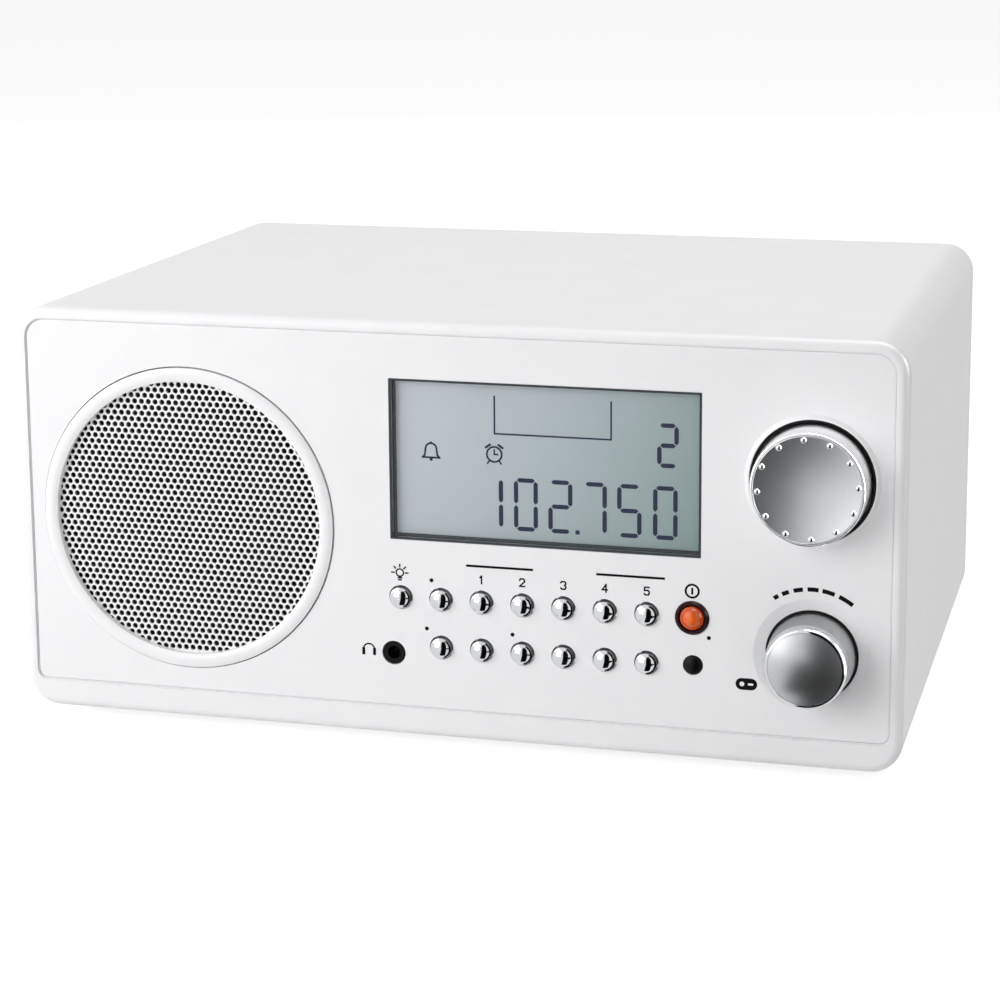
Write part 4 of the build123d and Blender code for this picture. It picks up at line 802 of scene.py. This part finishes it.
def crystalReading(s):
    outlines = []
    low, high = s["cellLow"], s["cellHigh"]
    for number, (left, digit) in enumerate(zip(s["cellLefts"], s["reading"])):
        outlines += sevenSegments(digit, left, low, s["cellWidth"], high - low, s)
        if number == s["pointAfter"]:
            near, far, tall = s["point"]
            near, far = left + s["cellWidth"] + near, left + s["cellWidth"] + far
            outlines.append([(near, low), (far, low), (far, low + tall), (near, low + tall)])
    outlines += sevenSegments(s["memoryDigit"], *s["memory"], s)
    left, right, bottom, top = s["box"]
    outlines += strip([(left, top), (left, bottom), (right, bottom), (right, top)], s["boxLine"])
    outlines += bellMark(bell) + clockMark(clock)
    flatPiece("crystal_segments", outlines, glassY - s["proud"] * mm, (s["proud"] + s["bedded"]) * mm,
              plainFinish(crystalInk))
    print("crystal reading:", len(outlines), "outlines")


frontPlate = {"left": -13.55, "right": 67.0, "low": 54.5, "high": 95.3}  # millimetres, as above


def crystalFrontPlate(s):  # from the crystal glass forwards, short of the window
    corners = [(s["left"], s["low"]), (s["right"], s["low"]), (s["right"], s["high"]), (s["left"], s["high"])]
    flatPiece("crystal_front_plate", [corners], glassY, frontPlateDepth * mm,
              finishes["lcd_glass"])


# Turned pieces: a profile of (radius, y) from the panel's face, swept round an axis

def turnedPiece(name, axis, profile, finish, sides=144, closed=False, sharpAngle=30):
    shape = bmesh.new()
    rings = []
    for radius, y in profile:
        spots = ringPoints(0, 0, radius, sides) if radius else [(0, 0)]
        rings.append([shape.verts.new((axis.x + a * mm, faceY + y * mm, axis.z + b * mm)) for a, b in spots])
    for near, far in zip(rings, rings[1:] + (rings[:1] if closed else [])):
        for n in range(sides):
            corners = [ring[(n + step) % len(ring)]
                       for ring, step in ((near, 0), (near, 1), (far, 1), (far, 0))]
            shape.faces.new(list(dict.fromkeys(corners)))
    bmesh.ops.recalc_face_normals(shape, faces=shape.faces)
    mesh = bpy.data.meshes.new(name)
    shape.to_mesh(mesh)
    shape.free()
    mesh.materials.append(finish)
    mesh.shade_smooth()
    mesh.set_sharp_from_angle(angle=math.radians(sharpAngle))
    return newObject(name, mesh)


def domed(radius, crownY, edgeY, steps=14):  # arc of a ball from its crown out to its edge
    rise = edgeY - crownY
    ball = (rise ** 2 + radius ** 2) / (2 * rise)
    full = math.asin(radius / abs(ball))
    turns = [full * n / steps for n in range(steps + 1)]
    return [(abs(ball) * math.sin(t), crownY + ball * (1 - math.cos(t))) for t in turns]


volumeKnob = {  # millimetres; depths are from the panel's face, forwards less than nothing
    "crown": -13.0, "capEdge": -11.5, "capRadius": 9.35, "grooveFloor": -11.25, "grooveWidth": 0.1,
    "bevel": ((0, -11.45), (0.25, -11.4), (0.48, -11.3), (0.68, -11.15), (0.84, -10.95), (0.96, -10.7),
              (1.05, -10.4), (1.12, -10.0), (1.16, -9.4), (1.18, -8.6)),  # radius beyond the groove, depth
    "radius": 11.1, "skirtTop": -1.5, "base": 1.8,
    "inside": 8.3, "insideTop": -8.0, "hub": 5.5, "hubEnd": -1.6, "bore": 3.02, "boreTop": -10.0,
}


def turnedVolumeKnob(s):
    start = s["capRadius"] + s["grooveWidth"]
    bevel = [(start + out, depth) for out, depth in s["bevel"]]
    profile = domed(s["capRadius"], s["crown"], s["capEdge"])
    profile += [(s["capRadius"], s["grooveFloor"]), (start, s["grooveFloor"])] + bevel
    profile += [(s["radius"], s["skirtTop"]), (s["radius"], s["base"]), (s["inside"], s["base"]),
                (s["inside"], s["insideTop"]), (s["hub"], s["insideTop"]), (s["hub"], s["hubEnd"]),
                (s["bore"], s["hubEnd"]), (s["bore"], s["boreTop"]), (0, s["boreTop"])]
    piece = turnedPiece("turned_volume_knob", volumeAxis, profile, volumeFinish)
    piece.data.materials.append(finishes["chrome_plate"])
    piece.data.materials.append(shadedSideFinish)
    buffed, shadedSide = 1, 2  # their places in the piece's list of materials
    bevelRadius, bevelDepth = bevel[-1]
    for face in piece.data.polygons:  # the rounded edge is buffed bright, the side takes the darker grey of painted shade
        x, y, z = face.center
        far, depth = math.hypot(x - volumeAxis.x, z - volumeAxis.z) / mm, (y - faceY) / mm
        if start < far < bevelRadius and depth < bevelDepth:
            face.material_index = buffed
        elif depth > bevelDepth:
            face.material_index = shadedSide
    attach(piece, "volume_knob")
    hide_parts("volume_knob")


tuningDisc = {  # millimetres, as above
    "middle": -7.8, "edge": -9.0, "dishRadius": 13.5, "radius": 13.75, "shoulder": -8.85, "seat": -7.0,
    "studs": 12, "studCircle": 12.6, "studFirst": 95,  # degrees to the first stud
    "studRadius": 0.8, "studTop": -9.35, "studEdge": -8.95, "studFoot": -7.4,
    "studSides": 24, "studSteps": 6,
}


def spunTuningDisc(s):
    profile = domed(s["dishRadius"], s["middle"], s["edge"])
    profile += [(s["radius"], s["shoulder"]), (s["radius"], s["seat"]), (0, s["seat"])]
    piece = turnedPiece("spun_tuning_disc", tuningAxis, profile, finishes["satin_aluminium"])
    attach(piece, "tuning_knob")
    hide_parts("tuning_cap")
    post = domed(s["studRadius"], s["studTop"], s["studEdge"], s["studSteps"])
    post += [(s["studRadius"], s["studFoot"]), (0, s["studFoot"])]
    spots = ringPoints(0, 0, s["studCircle"], s["studs"], math.radians(s["studFirst"]))
    for number, (x, z) in enumerate(spots):
        axis = tuningAxis + Vector((x * mm, 0, z * mm))
        stud = turnedPiece("stud_%d" % (number + 1), axis, post, finishes["chrome_plate"], s["studSides"])
        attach(stud, "tuning_knob")


gapShadeRings = {  # millimetres: a black ring round each knob's foot, painted shade for the shadowed gap there; it has the foam's finish
    "tuning_gap_shade": {"axis": tuningAxis, "inner": 15.15, "outer": 15.95, "front": 0.5, "back": 2.9},
    "volume_gap_shade": {"axis": volumeAxis, "inner": 11.25, "outer": 11.85, "front": 1.0, "back": 2.9},
}


def makeGapShadeRings(settings):
    for name, s in settings.items():
        loop = [(s["inner"], s["back"]), (s["inner"], s["front"]),
                (s["outer"], s["front"]), (s["outer"], s["back"])]
        # a black ring standing in for the shade in the gap
        piece = turnedPiece(name, s["axis"], loop, finishes["foam"], closed=True)
        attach(piece, "cabinet")


reveal = {  # millimetres: the groove round the front panel has a white floor not far below its face
    "halfWidth": 117.0, "low": 7.5, "high": 108.5, "lowCorner": 3.0, "highCorner": 5.5, "gap": 0.35,
    "play": 0.02, "depth": 0.15, "thickness": 0.9, "steps": 10,
}


def openingOutline(s, inset):
    x, low, high = s["halfWidth"] - inset, s["low"] + inset, s["high"] - inset
    points = []
    for side, z, radius, first in ((1, high, s["highCorner"], 0), (-1, high, s["highCorner"], 90),
                                   (-1, low, s["lowCorner"], 180), (1, low, s["lowCorner"], 270)):
        r = radius - inset
        middle = (side * (x - r), z - r if z == high else z + r)
        turns = [math.radians(first + 90 * n / s["steps"]) for n in range(s["steps"] + 1)]
        points += [(middle[0] + r * math.cos(t), middle[1] + r * math.sin(t)) for t in turns]
    return points


def revealFloor(s):
    outside, inside = s["play"], s["gap"] - s["play"]
    front, back = s["depth"], s["depth"] + s["thickness"]
    loops = [[(x * mm, faceY + depth * mm, underZ + z * mm) for x, z in openingOutline(s, inset)]
             for inset, depth in ((outside, front), (inside, front), (inside, back), (outside, back))]
    count = len(loops[0])
    faces = [(a * count + n, a * count + (n + 1) % count, b * count + (n + 1) % count, b * count + n)
             for a, b in ((0, 1), (1, 2), (2, 3), (3, 0)) for n in range(count)]
    verts = [vert for loop in loops for vert in loop]
    piece = meshObject("reveal_floor", verts, faces, finishes["white_abs"])
    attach(piece, "cabinet")


turnedVolumeKnob(volumeKnob)
spunTuningDisc(tuningDisc)
print("knobs turned")
makeGapShadeRings(gapShadeRings)
revealFloor(reveal)
print("gap_shade_rings and groove floor in place")
punchedGrille(grille)
frontPrints(prints)
crystalFrontPlate(frontPlate)
crystalReading(crystalMarks)
